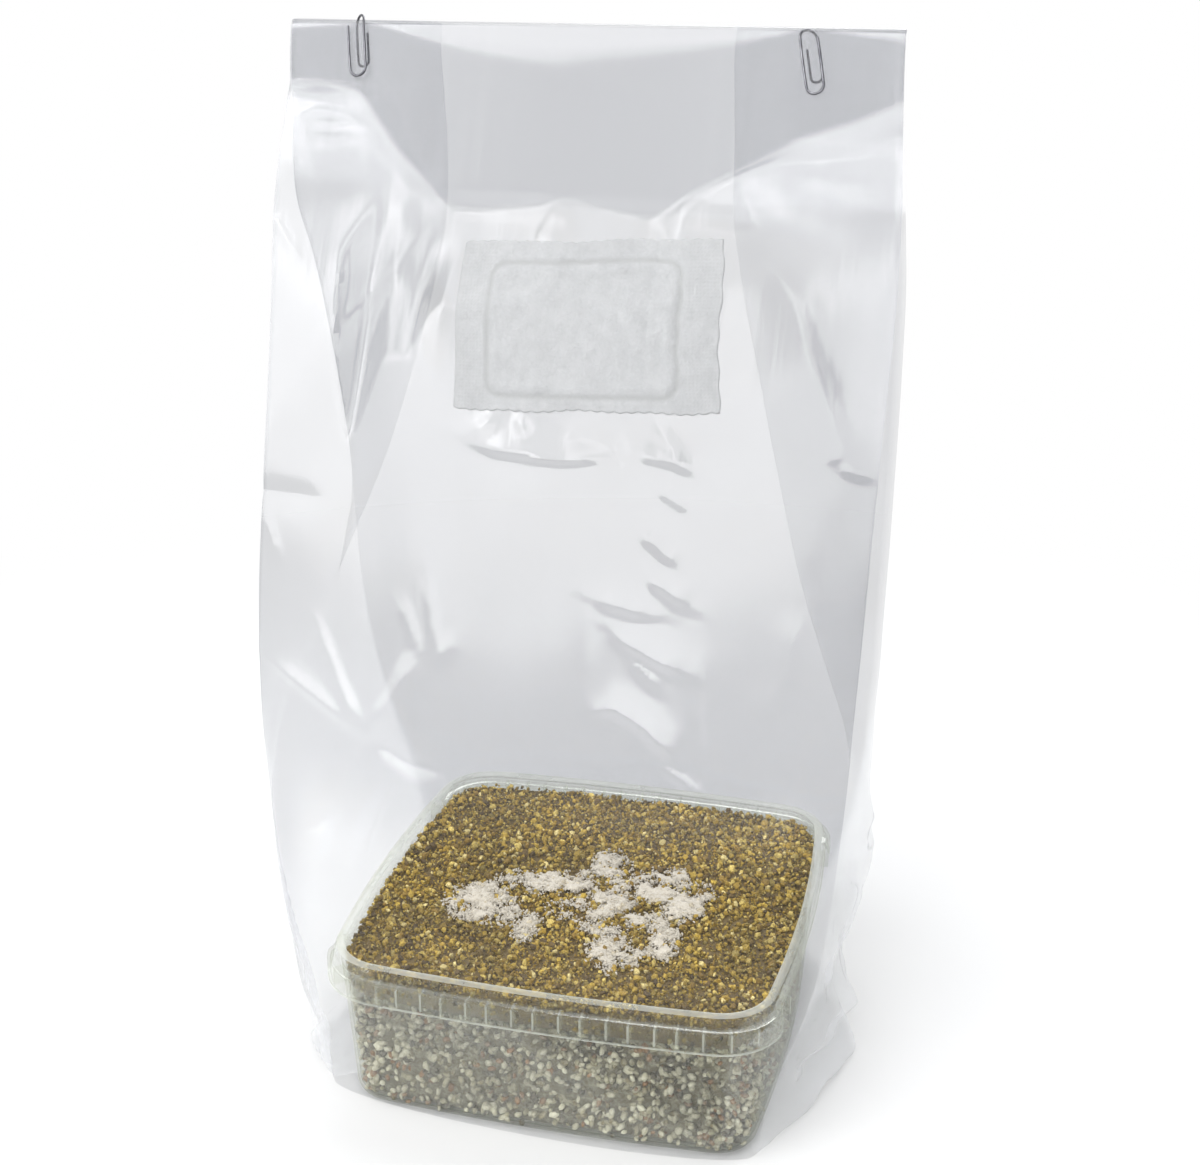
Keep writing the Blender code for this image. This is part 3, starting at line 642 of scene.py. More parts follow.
def make_clip(name, x, turn, side, rise, panel, material):
    """A wire clip pushed over the fold: outer loop in front, inner loop behind."""
    half, length, small = 3.1, 25.5, 2.1  # outer loop's half width and length, inner loop's radius
    front_x, rows, _, depth = panel
    under = (np.abs(front_x - x) < 4.5) & (rows[:, None] > spine.fold - 28) & (
        rows[:, None] < spine.fold)
    front, back = depth[under].min() - WIRE - 0.15, 3.6
    low = rise - (length - 2 * WIRE - half)
    path = [(half, front, rise - 5.0), (half + 0.1, front, low * 0.5)]
    path += [(half * math.cos(a), front, low - half * math.sin(a)) for a in half_turn(12)]
    path += [(-half - 0.1, front, low * 0.5), (-half, front, rise - 5.5)]
    path += [(-0.4 - 2.7 * math.cos(a), 1.2 - 2.65 * math.cos(a), rise - 0.45 - 3.4 * (1 - math.sin(a)))
             for a in half_turn(12, 1)]
    path.append((2.3, back, rise - 7.0))
    path += [(0.2 + small * math.cos(a), back, rise - 16.8 - small * math.sin(a)) for a in half_turn(10)]
    path.append((-1.9, back, rise - 6.4))
    curve = bpy.data.curves.new(name, "CURVE")
    curve.dimensions = "3D"
    curve.bevel_depth = WIRE * MM
    curve.bevel_resolution = 4
    curve.use_fill_caps = True
    curve.resolution_u = 6
    spline = curve.splines.new("NURBS")
    spline.points.add(len(path) - 1)
    for point, (px, py, pz) in zip(spline.points, path):
        point.co = (side * px * MM, py * MM, pz * MM, 1.0)
    spline.order_u = 4
    spline.use_endpoint_u = True
    curve.materials.append(material)
    obj = bpy.data.objects.new(name, curve)
    bpy.context.scene.collection.objects.link(obj)
    py, pz, _, _ = spine.at(np.array([spine.fold]))
    obj.location = (x * MM, (py[0] + 0.4) * MM, (pz[0] + 0.7) * MM)
    obj.rotation_euler = (-LEAN, -math.radians(turn), 0)
    bpy.context.view_layer.update()
    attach(obj, "root")
    return obj


# ---- Tub ----
def tub_contour(count=400):
    """Outer contour of the collar, evenly spaced, and its outward normals."""
    half_x, half_y, bow_x, bow_y, radius = 90.0, 87.2, 6.3, 4.5, 18.5
    ex, ey = half_x - bow_x - radius, half_y - bow_y - radius
    t = np.linspace(-1, 1, 60)
    front = np.stack([t * ex, -(half_y - bow_y * (t * ex / half_x) ** 2)], 1)
    right = np.stack([half_x - bow_x * (t * ey / half_y) ** 2, t * ey], 1)
    p0, p3 = front[-1], right[0]
    d0, d3 = unit(front[-1] - front[-2]), unit(right[1] - right[0])
    reach = np.linalg.norm(p3 - p0) * 0.39
    b = np.linspace(0, 1, 26)[1:-1, None]
    corner = ((1 - b) ** 3 * p0 + 3 * b * (1 - b) ** 2 * (p0 + d0 * reach)
              + 3 * b**2 * (1 - b) * (p3 - d3 * reach) + b**3 * p3)
    half = np.concatenate([front, corner, right, corner[::-1] * [1, -1]])
    closed = np.concatenate([half, -half, half[:1]])
    arc = np.concatenate([[0], np.cumsum(np.linalg.norm(np.diff(closed, axis=0), axis=1))])
    at = np.linspace(0, arc[-1], count, endpoint=False)
    points = np.stack([np.interp(at, arc, closed[:, 0]), np.interp(at, arc, closed[:, 1])], 1)
    tangent = unit(np.roll(points, -1, axis=0) - np.roll(points, 1, axis=0))
    return points, np.stack([tangent[:, 1], -tangent[:, 0]], 1)


CONTOUR, CONTOUR_N = tub_contour()


def in_tub(xy, z):
    """World points from (x, y) in the tub and a height."""
    return np.column_stack([xy[:, 0] + TUB_X, xy[:, 1], np.broadcast_to(z, len(xy))])


def ring_at(offset, z):
    """The contour grown by an offset, at a height."""
    return in_tub(CONTOUR + CONTOUR_N * np.asarray(offset).reshape(-1, 1), z)


def inner_wall(z):
    """Offset of the tub's inner face at a height."""
    return -7.3 + 4.0 * (z - 4.4) / (66.6 - 4.4)


def tub_material(name, milky):
    """Clear moulded plastic; milky is how much of it is seen as plastic when looked at squarely."""
    n = material_nodes(name)
    flow = n.noise(55.0, 3.0, 0.5, stretch=(1, 1, 0.35))
    speck = n.noise(420.0, 3.0, 0.6)
    bump = n.bump(n.plus(flow, n.times(speck, 0.25)), 0.25, 0.0006)
    milk = n.ramp(flow, [(0.35, (0.70, 0.73, 0.66)), (0.65, (0.86, 0.88, 0.83))])
    plastic = {"Color": milk, "Normal": bump}
    solid = n.blend(0.45, n.shader("BsdfDiffuse", plastic), n.shader("BsdfTranslucent", plastic))
    tinted = n.shader("BsdfTransparent", {"Color": (0.955, 0.96, 0.935, 1)})
    edge = n.plus(n.times(n.math("POWER", n.facing({}), 5.0), 0.40), milky, clamp=True)
    gloss = n.shader("BsdfGlossy", {"Color": (1, 1, 1, 1), "Roughness": 0.16, "Normal": bump})
    shine = n.times(n.shader("Fresnel", {"IOR": 1.49}), 0.16)
    return n.surface(n.blend(shine, n.blend(edge, tinted, solid), gloss))


def make_tub():
    """Walls, rolled lip, collar, skirted flange with its ribs, and the floor."""
    count = len(CONTOUR)
    flange = 1.0 - smooth(68.0, 63.0, np.abs(CONTOUR[:, 1])) * (np.abs(CONTOUR[:, 0]) > 60)
    plain_z = 60.2

    def mix_ring(offset_flange, z_flange, offset_plain, z_plain):
        """A ring of the flange that fades into the plain wall at the two sides."""
        return ring_at(offset_flange * flange + offset_plain * (1 - flange),
                       z_flange * flange + z_plain * (1 - flange))

    def wall(z):
        return -6.2 + 4.0 * (z - 4.7) / (62.0 - 4.7)

    # (offset, height): under the floor and up the wall
    outside = [(-60, 1.15), (-20, 1.15), (-12.5, 0.95), (-10.4, 0.75), (-9.0, 1.0), (-7.6, 1.9),
               (-6.7, 3.1), (-6.2, 4.7)]
    outside += [(wall(z), z) for z in (12, 20, 28, 36, 44, 50, 54, 57, 59.0)]
    # out along the flange, down and up its skirt: (offset, height), then those at the plain sides
    flange_rows = [
        (wall(60.4), 60.4, wall(59.8), 59.6), (-1.6, 60.9, -1.6, 60.0), (1.0, 60.9, -0.6, 59.8),
        (1.8, 60.5, 0.1, 59.9), (2.1, 59.6, 0.4, 60.1), (2.15, 56, 0.6, plain_z + 0.1),
        (2.2, 52.9, 0.75, plain_z + 0.25), (2.5, 52.4, 0.85, plain_z + 0.4),
        (3.0, 52.5, 0.9, plain_z + 0.6), (3.15, 53.0, 0.9, plain_z + 0.8),
        (3.1, 57.0, 0.9, plain_z + 1.0), (3.05, 60.6, 0.85, plain_z + 1.2), (2.8, 61.5, 0.7, 61.5),
        (2.2, 61.9, 0.5, 61.8)]
    # up the collar, over the lip and down the inside to the floor
    inside = [(0.9, 62.0), (0.3, 62.2), (0.05, 62.8), (0.0, 64.2), (-0.2, 65.0), (-0.8, 65.9),
              (-1.5, 66.4), (-2.3, 66.6), (-3.2, 66.6), (-3.9, 66.3), (-4.2, 65.6), (-4.1, 64.5)]
    inside += [(inner_wall(z), z) for z in (62.0, 56.0, 48.0, 38.0, 28.0, 18.0, 9.0, 5.0)]
    inside += [(-8.2, 3.2), (-10.5, 2.2), (-20, 2.1), (-60, 2.1)]
    rings = [ring_at(*row) for row in outside] + [mix_ring(*row) for row in flange_rows]
    rings += [ring_at(*row) for row in inside]
    verts = np.concatenate(rings)
    faces = ring_faces(len(rings), count, last_end=True)
    # the lip and the skirt's lower edge are seen as milky ridges: partly the plastic's own milkiness,
    # partly a painted highlight along these edges
    ring_z = np.array([ring[:, 2].min() for ring in rings])
    ridge = (ring_z[:-1] >= 65.8) | ((ring_z[:-1] > 52.2) & (ring_z[:-1] < 52.95))
    is_highlight_ridge = np.concatenate([np.repeat(ridge, count), [False, False]]).tolist()

    # webs between the wall and the skirt; their outer faces get the same milky, partly painted highlight
    # too
    web_x = [8.9 * k for k in range(-7, 8)] + [-72, -80.5, -88, 72, 80.5, 88]
    outer = (2, 3, 7, 6)
    web_faces = [(0, 1, 3, 2), (4, 6, 7, 5), (0, 2, 6, 4), (1, 5, 7, 3), outer, (0, 4, 5, 1)]
    corners = []
    for sign, x in [(sign, x) for sign in (-1, 1) for x in web_x]:
        side = np.where(np.sign(CONTOUR[:, 1]) == sign)[0]
        near = side[np.argmin(np.abs(CONTOUR[side, 0] - x) + (np.abs(CONTOUR[side, 1]) < 55) * 99)]
        centre, normal = CONTOUR[near], CONTOUR_N[near]
        along = np.array([-normal[1], normal[0]])
        base = len(verts) + len(corners)
        for z in (60.7, 53.3):
            for offset in (wall(z) - 0.3, 2.3):
                for sideways in (-0.42, 0.42):
                    p = centre + normal * offset + along * sideways
                    corners.append((p[0] + TUB_X, p[1], z))
        for quad in web_faces:
            faces.append([base + q for q in quad])
            is_highlight_ridge.append(quad == outer)
    # the ridge material is milkier: the plastic's own milkiness and a painted highlight on the edges
    materials = [tub_material("tub_plastic", 0.010), tub_material("tub_ridge_highlight", 0.30)]
    verts = np.concatenate([verts, corners])
    tub = add_mesh("tub_moulded", verts, faces, materials, ["tub"])
    tub.data.polygons.foreach_set("material_index", np.array(is_highlight_ridge, dtype=np.int32))
    tub.data.set_sharp_from_angle(angle=SHARP)


# ---- Filling ----
def icosahedron():
    """Corners and faces of a regular solid with 20 faces."""
    g = (1 + 5**0.5) / 2
    verts = np.array([(-1, g, 0), (1, g, 0), (-1, -g, 0), (1, -g, 0), (0, -1, g), (0, 1, g),
                      (0, -1, -g), (0, 1, -g), (g, 0, -1), (g, 0, 1), (-g, 0, -1), (-g, 0, 1)], float)
    faces = np.array([(0, 11, 5), (0, 5, 1), (0, 1, 7), (0, 7, 10), (0, 10, 11), (1, 5, 9),
                      (5, 11, 4), (11, 10, 2), (10, 7, 6), (7, 1, 8), (3, 9, 4), (3, 4, 2),
                      (3, 2, 6), (3, 6, 8), (3, 8, 9), (4, 9, 5), (2, 4, 11), (6, 2, 10),
                      (8, 6, 7), (9, 8, 1)])
    return unit(verts), faces


def rotations(count, seed):
    """Random turns, as matrices."""
    q = unit(np.random.default_rng(seed).normal(size=(count, 4)))
    w, x, y, z = q.T
    return np.stack([1 - 2 * (y * y + z * z), 2 * (x * y - z * w), 2 * (x * z + y * w),
                     2 * (x * y + z * w), 1 - 2 * (x * x + z * z), 2 * (y * z - x * w),
                     2 * (x * z - y * w), 2 * (y * z + x * w), 1 - 2 * (x * x + y * y)],
                    1).reshape(-1, 3, 3)


OCTAHEDRON = (np.array([(1, 0, 0), (-1, 0, 0), (0, 1, 0), (0, -1, 0), (0, 0, 1), (0, 0, -1)], float),
              np.array([(0, 2, 4), (2, 1, 4), (1, 3, 4), (3, 0, 4), (2, 0, 5), (1, 2, 5), (3, 1, 5),
                        (0, 3, 5)]))


def crumbs(centres, sizes, seed, jitter=0.25, solid=None):
    """Copies of a rough lump, one at each centre; sizes are its three half lengths."""
    base, tri = solid or icosahedron()
    count = len(centres)
    generator = np.random.default_rng(seed)
    shape = base[None] * (1 + generator.uniform(-jitter, jitter, (count, len(base), 1)))
    turned = np.einsum("nij,nkj->nki", rotations(count, seed + 1), shape * sizes[:, None, :])
    verts = turned + centres[:, None, :]
    faces = tri[None] + (np.arange(count) * len(base))[:, None, None]
    return verts.reshape(-1, 3), faces.reshape(-1, 3), len(base)


def inside_tub(points, offset):
    """True for (x, y) inside the contour grown by offset."""
    ring = CONTOUR + CONTOUR_N * offset
    angle = np.arctan2(ring[:, 1], ring[:, 0])
    order = np.argsort(angle)
    radius = np.hypot(ring[:, 0], ring[:, 1])
    limit = np.interp(np.arctan2(points[:, 1], points[:, 0]), angle[order], radius[order],
                      period=2 * math.pi)
    return np.hypot(points[:, 0], points[:, 1]) < limit


MYCELIUM = [
    # middle x, y in the tub; half lengths; turn in degrees; strength
    (-42, -20, 12, 13, 10, 1.05), (-31, -27, 9, 8, 0, 0.9), (-18, -34, 6, 9, 0, 0.75),
    (-20, 1, 18, 9, 15, 1.05), (-6, 8, 9, 8, 40, 0.8), (2, 20, 8, 12, 0, 0.95),
    (-1, -15, 13, 9, 20, 1.0), (9, -2, 9, 12, 0, 0.95), (25, 8, 13, 10, 0, 1.05),
    (38, -5, 8, 12, 10, 1.0), (30, 18, 9, 6, 0, 0.75), (44, 8, 6, 7, 0, 0.7),
    (10, -28, 12, 5, 0, 0.6), (27, -19, 10, 7, 0, 0.7), (20, -44, 9, 12, 0, 1.05),
    (37, -32, 5, 11, 0, 1.0), (-33, -8, 5, 6, 0, 0.55),
]
patch_noise = [hash_noise(seed) for seed in (21, 22, 23, 24)]
FELT = 0.53  # cover from which the mycelium closes into a felt


def mycelium_at(x, y):
    """How thickly the mycelium covers the casing at (x, y) in the tub, 0 to 1."""
    cover = np.zeros_like(x)
    for cx, cy, rx, ry, turn, strength in MYCELIUM:
        angle = math.radians(turn)
        u = ((x - cx) * math.cos(angle) + (y - cy) * math.sin(angle)) / rx
        v = (-(x - cx) * math.sin(angle) + (y - cy) * math.cos(angle)) / ry
        cover = np.maximum(cover, strength * np.exp(-(u * u + v * v) ** 1.4 * 0.8))
    a, b = 0.8 * x + 0.6 * y, 0.8 * y - 0.6 * x
    noise = (0.55 * patch_noise[0](a / 6.3, b / 6.3) + 0.45 * patch_noise[1](b / 3.1, x / 3.1)
             + 0.5 * patch_noise[2](y / 1.5, a / 1.5) + 0.35 * patch_noise[3](b / 0.8, a / 0.8))
    return np.clip(cover * (1.0 + 0.95 * noise) + 0.15 * noise * (cover > 0.15), 0, 1)


casing_noise = hash_noise(31)


def casing_height(x, y):
    """Height of the vermiculite's uneven top."""
    return 61.2 + 0.7 * casing_noise(x / 14, y / 14) + 0.5 * casing_noise(x / 5 + 9, y / 5)


def granule_material():
    n = material_nodes("vermiculite")
    grain = n.noise(1400.0, 4.0, 0.65)
    leaf = n.noise(2600.0, 2.0, 0.6, stretch=(1, 1, 4))
    shade = n.ramp(grain, [(0.3, (0.5, 0.47, 0.40)), (0.7, (1.3, 1.28, 1.2))])
    return n.surface(n.shader("BsdfPrincipled", {
        "Base Color": n.mix(1.0, n.painted_colour(), shade, "MULTIPLY"), "Roughness": 0.62,
        "Specular IOR Level": 0.5, "Normal": n.bump(n.plus(grain, leaf), 0.7, 0.0004)}))


def scatter(generator, reach_x, reach_y, tries, margin, count):
    """Random (x, y) in the tub, at least a margin inside its contour."""
    xy = np.stack([generator.uniform(-reach_x, reach_x, tries),
                   generator.uniform(-reach_y, reach_y, tries)], 1)
    return xy[inside_tub(xy, -margin)][:count]


def make_casing():
    """Vermiculite: a bed, painted dark as shade, with thousands of granules and flakes on it and against
    the wall.
    """
    material = granule_material()
    g = np.random.default_rng(41)
    golden = np.array([(0.31, 0.205, 0.022), (0.40, 0.28, 0.04), (0.20, 0.125, 0.014),
                       (0.52, 0.40, 0.11), (0.09, 0.055, 0.010), (0.60, 0.50, 0.22),
                       (0.29, 0.22, 0.055)])
    share = [0.24, 0.22, 0.17, 0.11, 0.11, 0.05, 0.10]

    def colours(centres, on_top):
        """A tint for each granule, patchy at random and, as painted shade, lighter towards the back and
        darker towards the front; some on top are coated by the mycelium.
        """
        tint = golden[g.choice(len(golden), len(centres), p=share)]
        tint = tint * g.uniform(0.7, 1.2, (len(centres), 1))
        patchy_and_shade = 1 + 0.25 * casing_noise(centres[:, 0] / 19, centres[:, 1] / 19)
        # painted shade: lighter towards the back, darker towards the front
        patchy_and_shade = patchy_and_shade + 0.12 * smooth(20, 75, centres[:, 1]) - 0.16 * smooth(-20, -75, centres[:, 1])
        tint = tint * patchy_and_shade[:, None]
        white = mycelium_at(centres[:, 0] - TUB_X, centres[:, 1]) * on_top
        coated = (white > g.uniform(0.3, 1.1, len(white)))[:, None]
        return np.where(coated, np.array([0.52, 0.47, 0.38]) * g.uniform(0.8, 1.1, (len(tint), 1)), tint)

    xy = scatter(g, 88, 86, 15500, 5.0, 7900)
    size = np.clip(g.lognormal(-0.02, 0.38, len(xy)), 0.5, 1.95)
    half = np.stack([size * 1.02, size * g.uniform(0.65, 0.95, len(xy)),
                     size * g.uniform(0.45, 0.8, len(xy))], 1)
    level = casing_height(xy[:, 0], xy[:, 1]) - g.uniform(0.0, 1.7, len(xy))
    level += np.where(g.random(len(xy)) < 0.12, 0.9, 0.0)
    centres = in_tub(xy, level)
    tint = colours(centres, 1.0)
    # against the wall
    n_wall = 1900
    pick = g.integers(0, len(CONTOUR), n_wall)
    z = g.uniform(50.6, 61.0, n_wall)
    wall_xy = CONTOUR[pick] + CONTOUR_N[pick] * (inner_wall(z) - 1.25)[:, None]
    wall_xy += g.normal(0, 0.35, wall_xy.shape)
    wall_centres = in_tub(wall_xy, z)
    wall_half = np.clip(g.lognormal(0.0, 0.3, (n_wall, 1)), 0.6, 1.5)
    wall_half = wall_half * g.uniform(0.6, 1.0, (n_wall, 3))
    # painted shade: the granules against the wall are darkened to 0.55, for the shade behind the skirt
    tint = np.concatenate([tint, colours(wall_centres, 0.0) * 0.55])
    verts, faces, per = crumbs(np.concatenate([centres, wall_centres]),
                               np.concatenate([half, wall_half]), 43, 0.25)
    obj = add_mesh("vermiculite_granules", verts, faces, [material], ["vermiculite_casing"],
                   smooth_shade=False)
    paint(obj, "tint", np.repeat(tint, per, axis=0))

    # small flakes between the granules
    xy = scatter(g, 88, 86, 33000, 4.6, 17000)
    size = g.uniform(0.32, 0.85, len(xy))
    half = np.stack([size, size * 0.8, size * g.uniform(0.4, 0.9, len(xy))], 1)
    centres = in_tub(xy, casing_height(xy[:, 0], xy[:, 1]) - g.uniform(0.1, 1.6, len(xy)))
    verts, faces, per = crumbs(centres, half, 47, 0.3, OCTAHEDRON)
    obj = add_mesh("vermiculite_flakes", verts, faces, [material], (),
                   smooth_shade=False)
    paint(obj, "tint", np.repeat(colours(centres, 1.0) * 0.9, per, axis=0))

    # bed under the granules, painted dark as the shade in the gaps between them
    ring, normal = CONTOUR[::4], CONTOUR_N[::4]
    rings = [in_tub(ring + normal * (inner_wall(z) - 1.0), z) for z in (49.8, 55.0, 59.5)]
    for shrink in (1.0, 0.88, 0.75, 0.6, 0.45, 0.3, 0.15, 0.01):
        xy = (ring - 4.6 * normal) * shrink
        rings.append(in_tub(xy, casing_height(xy[:, 0], xy[:, 1]) - 1.5))
    bed = add_mesh("vermiculite_shade_bed", np.concatenate(rings), ring_faces(len(rings), len(ring)),
                   [material], ())
    paint(bed, "tint", np.tile([0.12, 0.08, 0.02], (len(bed.data.vertices), 1)))


def fluff_material():
    n = material_nodes("mycelium")
    cloud = n.noise(700.0, 5.0, 0.7)
    colour = n.ramp(cloud, [(0.3, (0.36, 0.32, 0.25)), (0.65, (0.50, 0.46, 0.385))])
    return n.surface(n.shader("BsdfPrincipled", {
        "Base Color": colour, "Roughness": 0.95, "Sheen Weight": 0.3,
        "Normal": n.bump(cloud, 0.8, 0.0006)}))


def make_mycelium():
    """Felt that spreads over the granules, with ragged edges, holes and loose tufts."""
    material = fluff_material()
    g = np.random.default_rng(57)
    areas = {"mycelium_left": ("mycelium_patch_left", (-62, -28), (-50, 8)),
             "mycelium_centre": ("mycelium_patch_centre", (-28, 60), (-22, 45)),
             "mycelium_front": ("mycelium_patch_front", (-28, 82), (-64, -22))}
    step, tries = 0.45, 40000
    for name, (node, (x0, x1), (y0, y1)) in areas.items():
        x, y = np.meshgrid(np.arange(x0, x1, step), np.arange(y0, y1, step))
        cover = mycelium_at(x, y)
        depth = np.sqrt(np.clip((cover - FELT) / 0.35, 0, 1))
        lumps = 0.6 * patch_noise[1](x / 2.9 + 7, y / 2.9) + 0.35 * patch_noise[2](x / 1.3, y / 1.3 + 5)
        z = casing_height(x, y) - 0.9 + depth * (1.7 + 0.6 * lumps)
        columns = x.shape[1]
        i, j = np.nonzero(cover[:-1, :-1] > FELT)
        corner = i * columns + j
        quads = np.stack([corner, corner + 1, corner + columns + 1, corner + columns], 1)
        used, quads = np.unique(quads, return_inverse=True)
        felt = np.column_stack([x.ravel() + TUB_X, y.ravel(), z.ravel()])[used]
        quads = quads.reshape(-1, 4)

        # loose tufts on and round the felt
        xy = np.stack([g.uniform(x0, x1, tries), g.uniform(y0, y1, tries)], 1)
        cover = mycelium_at(xy[:, 0], xy[:, 1])
        xy = xy[cover > g.uniform(0.2, 0.9, tries)][:3000]
        size = g.uniform(0.22, 0.7, len(xy))
        half = np.stack([size, size * g.uniform(0.5, 1.0, len(xy)), size * 0.6], 1)
        level = casing_height(xy[:, 0], xy[:, 1]) + g.uniform(-0.2, 0.9, len(xy))
        tufts, faces, _ = crumbs(in_tub(xy, level), half, 59, 0.4)
        faces = quads.tolist() + (faces + len(felt)).tolist()
        add_mesh(name, np.concatenate([felt, tufts]), faces, [material], [node])


def grain_material():
    n = material_nodes("grain")
    fuzz = n.noise(900.0, 5.0, 0.7)
    growth = n.noise(260.0, 4.0, 0.6)
    cover = n.ramp(n.plus(n.times(fuzz, 0.5), n.times(growth, 0.5)),
                   [(0.45, (0, 0, 0)), (0.62, (1, 1, 1))])
    colour = n.mix(n.times(cover, 0.22), n.painted_colour(), (0.80, 0.79, 0.70))
    return n.surface(n.shader("BsdfPrincipled", {
        "Base Color": colour, "Roughness": 0.6, "Normal": n.bump(fuzz, 0.6, 0.0005)}))


def make_grain():
    """Kernels bound with mycelium, seen through the tub's wall and floor."""
    material = grain_material()
    g = np.random.default_rng(71)
    low, high = 2.8, 50.0
    count = 5200
    pick = g.integers(0, len(CONTOUR), count)
    z = low + (high - low) * g.random(count)
    deep = g.uniform(1.0, 4.2, count)
    xy = CONTOUR[pick] + CONTOUR_N[pick] * (inner_wall(np.maximum(z, 5)) - deep)[:, None]
    long = np.minimum(g.uniform(1.2, 2.6, count), deep + 0.4)
    half = np.stack([long, long * g.uniform(0.5, 0.75, count), long * g.uniform(0.45, 0.7, count)], 1)
    floor_xy = scatter(g, 82, 80, 3000, 11, 1500)
    centres = np.concatenate([in_tub(xy, z), in_tub(floor_xy, 3.6)])
    half = np.concatenate([half, np.tile([2.0, 1.3, 1.1], (len(floor_xy), 1))])
    verts, faces, per = crumbs(centres, half, 73, 0.12)
    tones = np.array([(0.50, 0.48, 0.38), (0.80, 0.79, 0.72), (0.30, 0.26, 0.16),
                      (0.36, 0.17, 0.05), (0.92, 0.92, 0.88), (0.08, 0.06, 0.03)])
    which = g.choice(len(tones), len(centres), p=[0.23, 0.25, 0.16, 0.10, 0.12, 0.14])
    # damp and dark in clouds; painted shade: darker towards the casing at the top, lighter near the
    # bottom
    around = np.arctan2(centres[:, 1], centres[:, 0] - TUB_X) * 90
    damp_and_shade = 0.5 + 0.5 * swell_noise(around / 17, centres[:, 2] / 11 + 5)
    damp_and_shade = damp_and_shade + 0.35 * smooth(30, 50, centres[:, 2]) - 0.25 * smooth(22, 6, centres[:, 2])
    tint = tones[which] * g.uniform(0.8, 1.15, (len(centres), 1))
    tint *= (0.59 - 0.33 * np.clip(damp_and_shade, 0, 1))[:, None] * np.array([1.0, 0.95, 0.80])
    obj = add_mesh("grain_kernels", verts, faces, [material], ["grain_substrate"])
    paint(obj, "tint", np.repeat(tint, per, axis=0))

    # dark bed behind the kernels, painted as the shade in the gaps between them
    ring, normal = CONTOUR[::4], CONTOUR_N[::4]
    rings = []
    for z in (3.0, 6.0, 15.0, 25.0, 35.0, 45.0, 49.4):
        wobble = 0.5 * casing_noise(np.arange(len(ring)) / 3.0, np.full(len(ring), z / 4))
        offset = inner_wall(max(z, 5)) - 3.6 + wobble
        rings.append(in_tub(ring + normal * offset[:, None], z))
    faces = ring_faces(len(rings), len(ring), last_end=True)
    bed = add_mesh("grain_shade_bed", np.concatenate(rings), faces, [material], ())
    paint(bed, "tint", np.tile([0.09, 0.075, 0.04], (len(bed.data.vertices), 1)))


# ---- Setting ----
# azimuth (0 in front, + to the right) and elevation in degrees; distance, width, height; watts
LIGHTS = [
    ("softbox_right", 2.5, 19.5, 1.9, 1.57, 1.13, 19.5), ("softbox_left", -56, 22, 1.9, 1.31, 1.5, 19.5),
    ("softbox_middle", -28, 18, 1.9, 0.5, 1.1, 6.0), ("softbox_side", 42, 15, 1.9, 1.1, 1.1, 11.0),
    ("fill_middle", -20, 47, 1.9, 1.3, 0.67, 6.2), ("fill_left", -52, 45, 1.9, 0.95, 0.9, 6.6),
    ("fill_right", 13, 46, 1.9, 0.85, 0.72, 4.8), ("fill_far_left", -92, 18, 1.9, 1.2, 0.9, 6.0),
    ("fill_far_right", 50, 36, 1.9, 0.65, 0.5, 2.0), ("softbox_top", -12, 69, 1.6, 1.8, 0.74, 11.5),
    ("softbox_back", 165, 58, 2.0, 1.6, 1.2, 36.0),
]


def area_light(name, azimuth, elevation, distance, width, height, power):
    """A softbox that faces the middle of the bag."""
    a, e = math.radians(azimuth), math.radians(elevation)
    centre = Vector((0.0, 0.0, 0.2))
    offset = Vector((math.sin(a) * math.cos(e), -math.cos(a) * math.cos(e), math.sin(e)))
    lamp = bpy.data.lights.new(name, "AREA")
    lamp.shape = "RECTANGLE"
    lamp.size, lamp.size_y = width, height
    lamp.energy = power
    obj = bpy.data.objects.new(name, lamp)
    obj.location = centre + offset * distance
    obj.rotation_euler = (-offset).to_track_quat("-Z", "Y").to_euler()
    bpy.context.scene.collection.objects.link(obj)


def studio():
    """White behind the object; as a light, softer and a little brighter behind than in front."""
    n = Nodes(bpy.data.worlds.new("studio"), "ShaderNodeOutputWorld")
    where = n.new("ShaderNodeTexCoord").outputs["Generated"]
    back = n.new("ShaderNodeSeparateXYZ", {0: where}).outputs["Y"]
    strength = n.shader("MapRange", {"Value": back, "From Max": 0.7, "To Min": 0.45, "To Max": 0.95})
    around = n.shader("Background", {"Color": (0.95, 0.97, 1, 1), "Strength": strength})
    seen = n.shader("Background", {"Color": (1, 1, 1, 1), "Strength": 1.0})
    by_camera = n.new("ShaderNodeLightPath").outputs["Is Camera Ray"]
    return n.surface(n.blend(by_camera, around, seen))


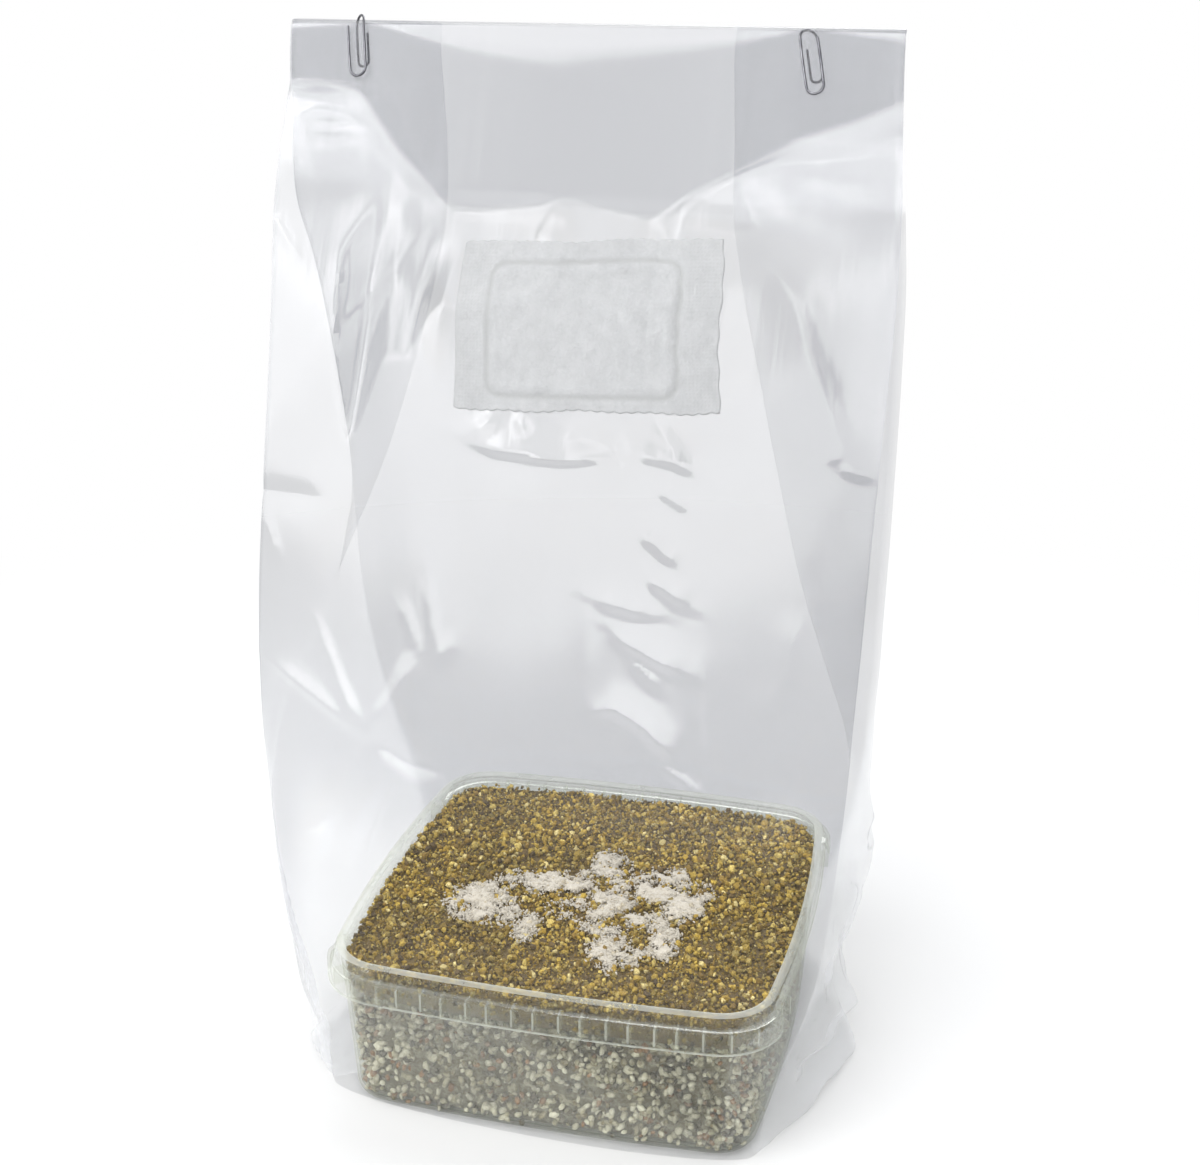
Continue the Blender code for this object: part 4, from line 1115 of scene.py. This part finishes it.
def paper():
    """Pale paper that fades into the white round it."""
    n = material_nodes("paper_floor")
    tone = n.ramp(n.noise(3.0, 2.0, 0.5),
                  [(0.3, (0.505, 0.505, 0.505)), (0.7, (0.535, 0.535, 0.535))])
    by_camera = n.new("ShaderNodeLightPath").outputs["Is Camera Ray"]
    far = n.shader("MapRange", {"Value": by_camera, "To Min": 0.45, "To Max": 1.0})
    bright = n.shader("Emission", {"Color": (1, 1, 1, 1), "Strength": far})
    reach = n.new("ShaderNodeVectorMath", {0: n.coords()}, operation="LENGTH").outputs["Value"]
    fade = n.new("ShaderNodeMapRange", {"Value": reach, "From Min": 0.26, "From Max": 0.7},
                 interpolation_type="SMOOTHSTEP").outputs[0]
    return n.surface(n.blend(fade, n.shader("BsdfDiffuse", {"Color": tone}), bright))


def make_setting():
    """White surroundings, soft lights, a pale floor and the camera."""
    scene = bpy.context.scene
    scene.view_settings.view_transform = "Standard"
    scene.cycles.transparent_max_bounces = 32
    scene.world = studio()
    for light in LIGHTS:
        area_light(*light)

    size, z = 0.75, -0.0002
    mesh = bpy.data.meshes.new("floor")
    mesh.from_pydata([(-size, -size, z), (size, -size, z), (size, size, z), (-size, size, z)], [],
                     [(0, 1, 2, 3)])
    mesh.materials.append(paper())
    floor = bpy.data.objects.new("floor", mesh)
    scene.collection.objects.link(floor)

    camera = bpy.data.cameras.new("camera")
    camera.lens, camera.sensor_width = 53.7, 36.0
    camera.clip_start = 0.01
    obj = bpy.data.objects.new("camera", camera)
    obj.location = (0.1675, -0.6222, 0.4418)
    obj.rotation_euler = (math.radians(69.085), 0, math.radians(14.054))
    scene.collection.objects.link(obj)
    scene.camera = obj


def main():
    make_setting()
    panel = make_film()
    make_patch(panel)
    steel = steel_material()
    left = make_clip("wire_clip_left", -87.4, 11.0, -1, 2.8, panel, steel)
    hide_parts("paper_clip_left")
    right = make_clip("wire_clip_right", 79.6, 14.0, 1, 0.4, panel, steel)
    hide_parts("paper_clip_right")
    make_tub()
    make_casing()
    make_mycelium()
    make_grain()


main()
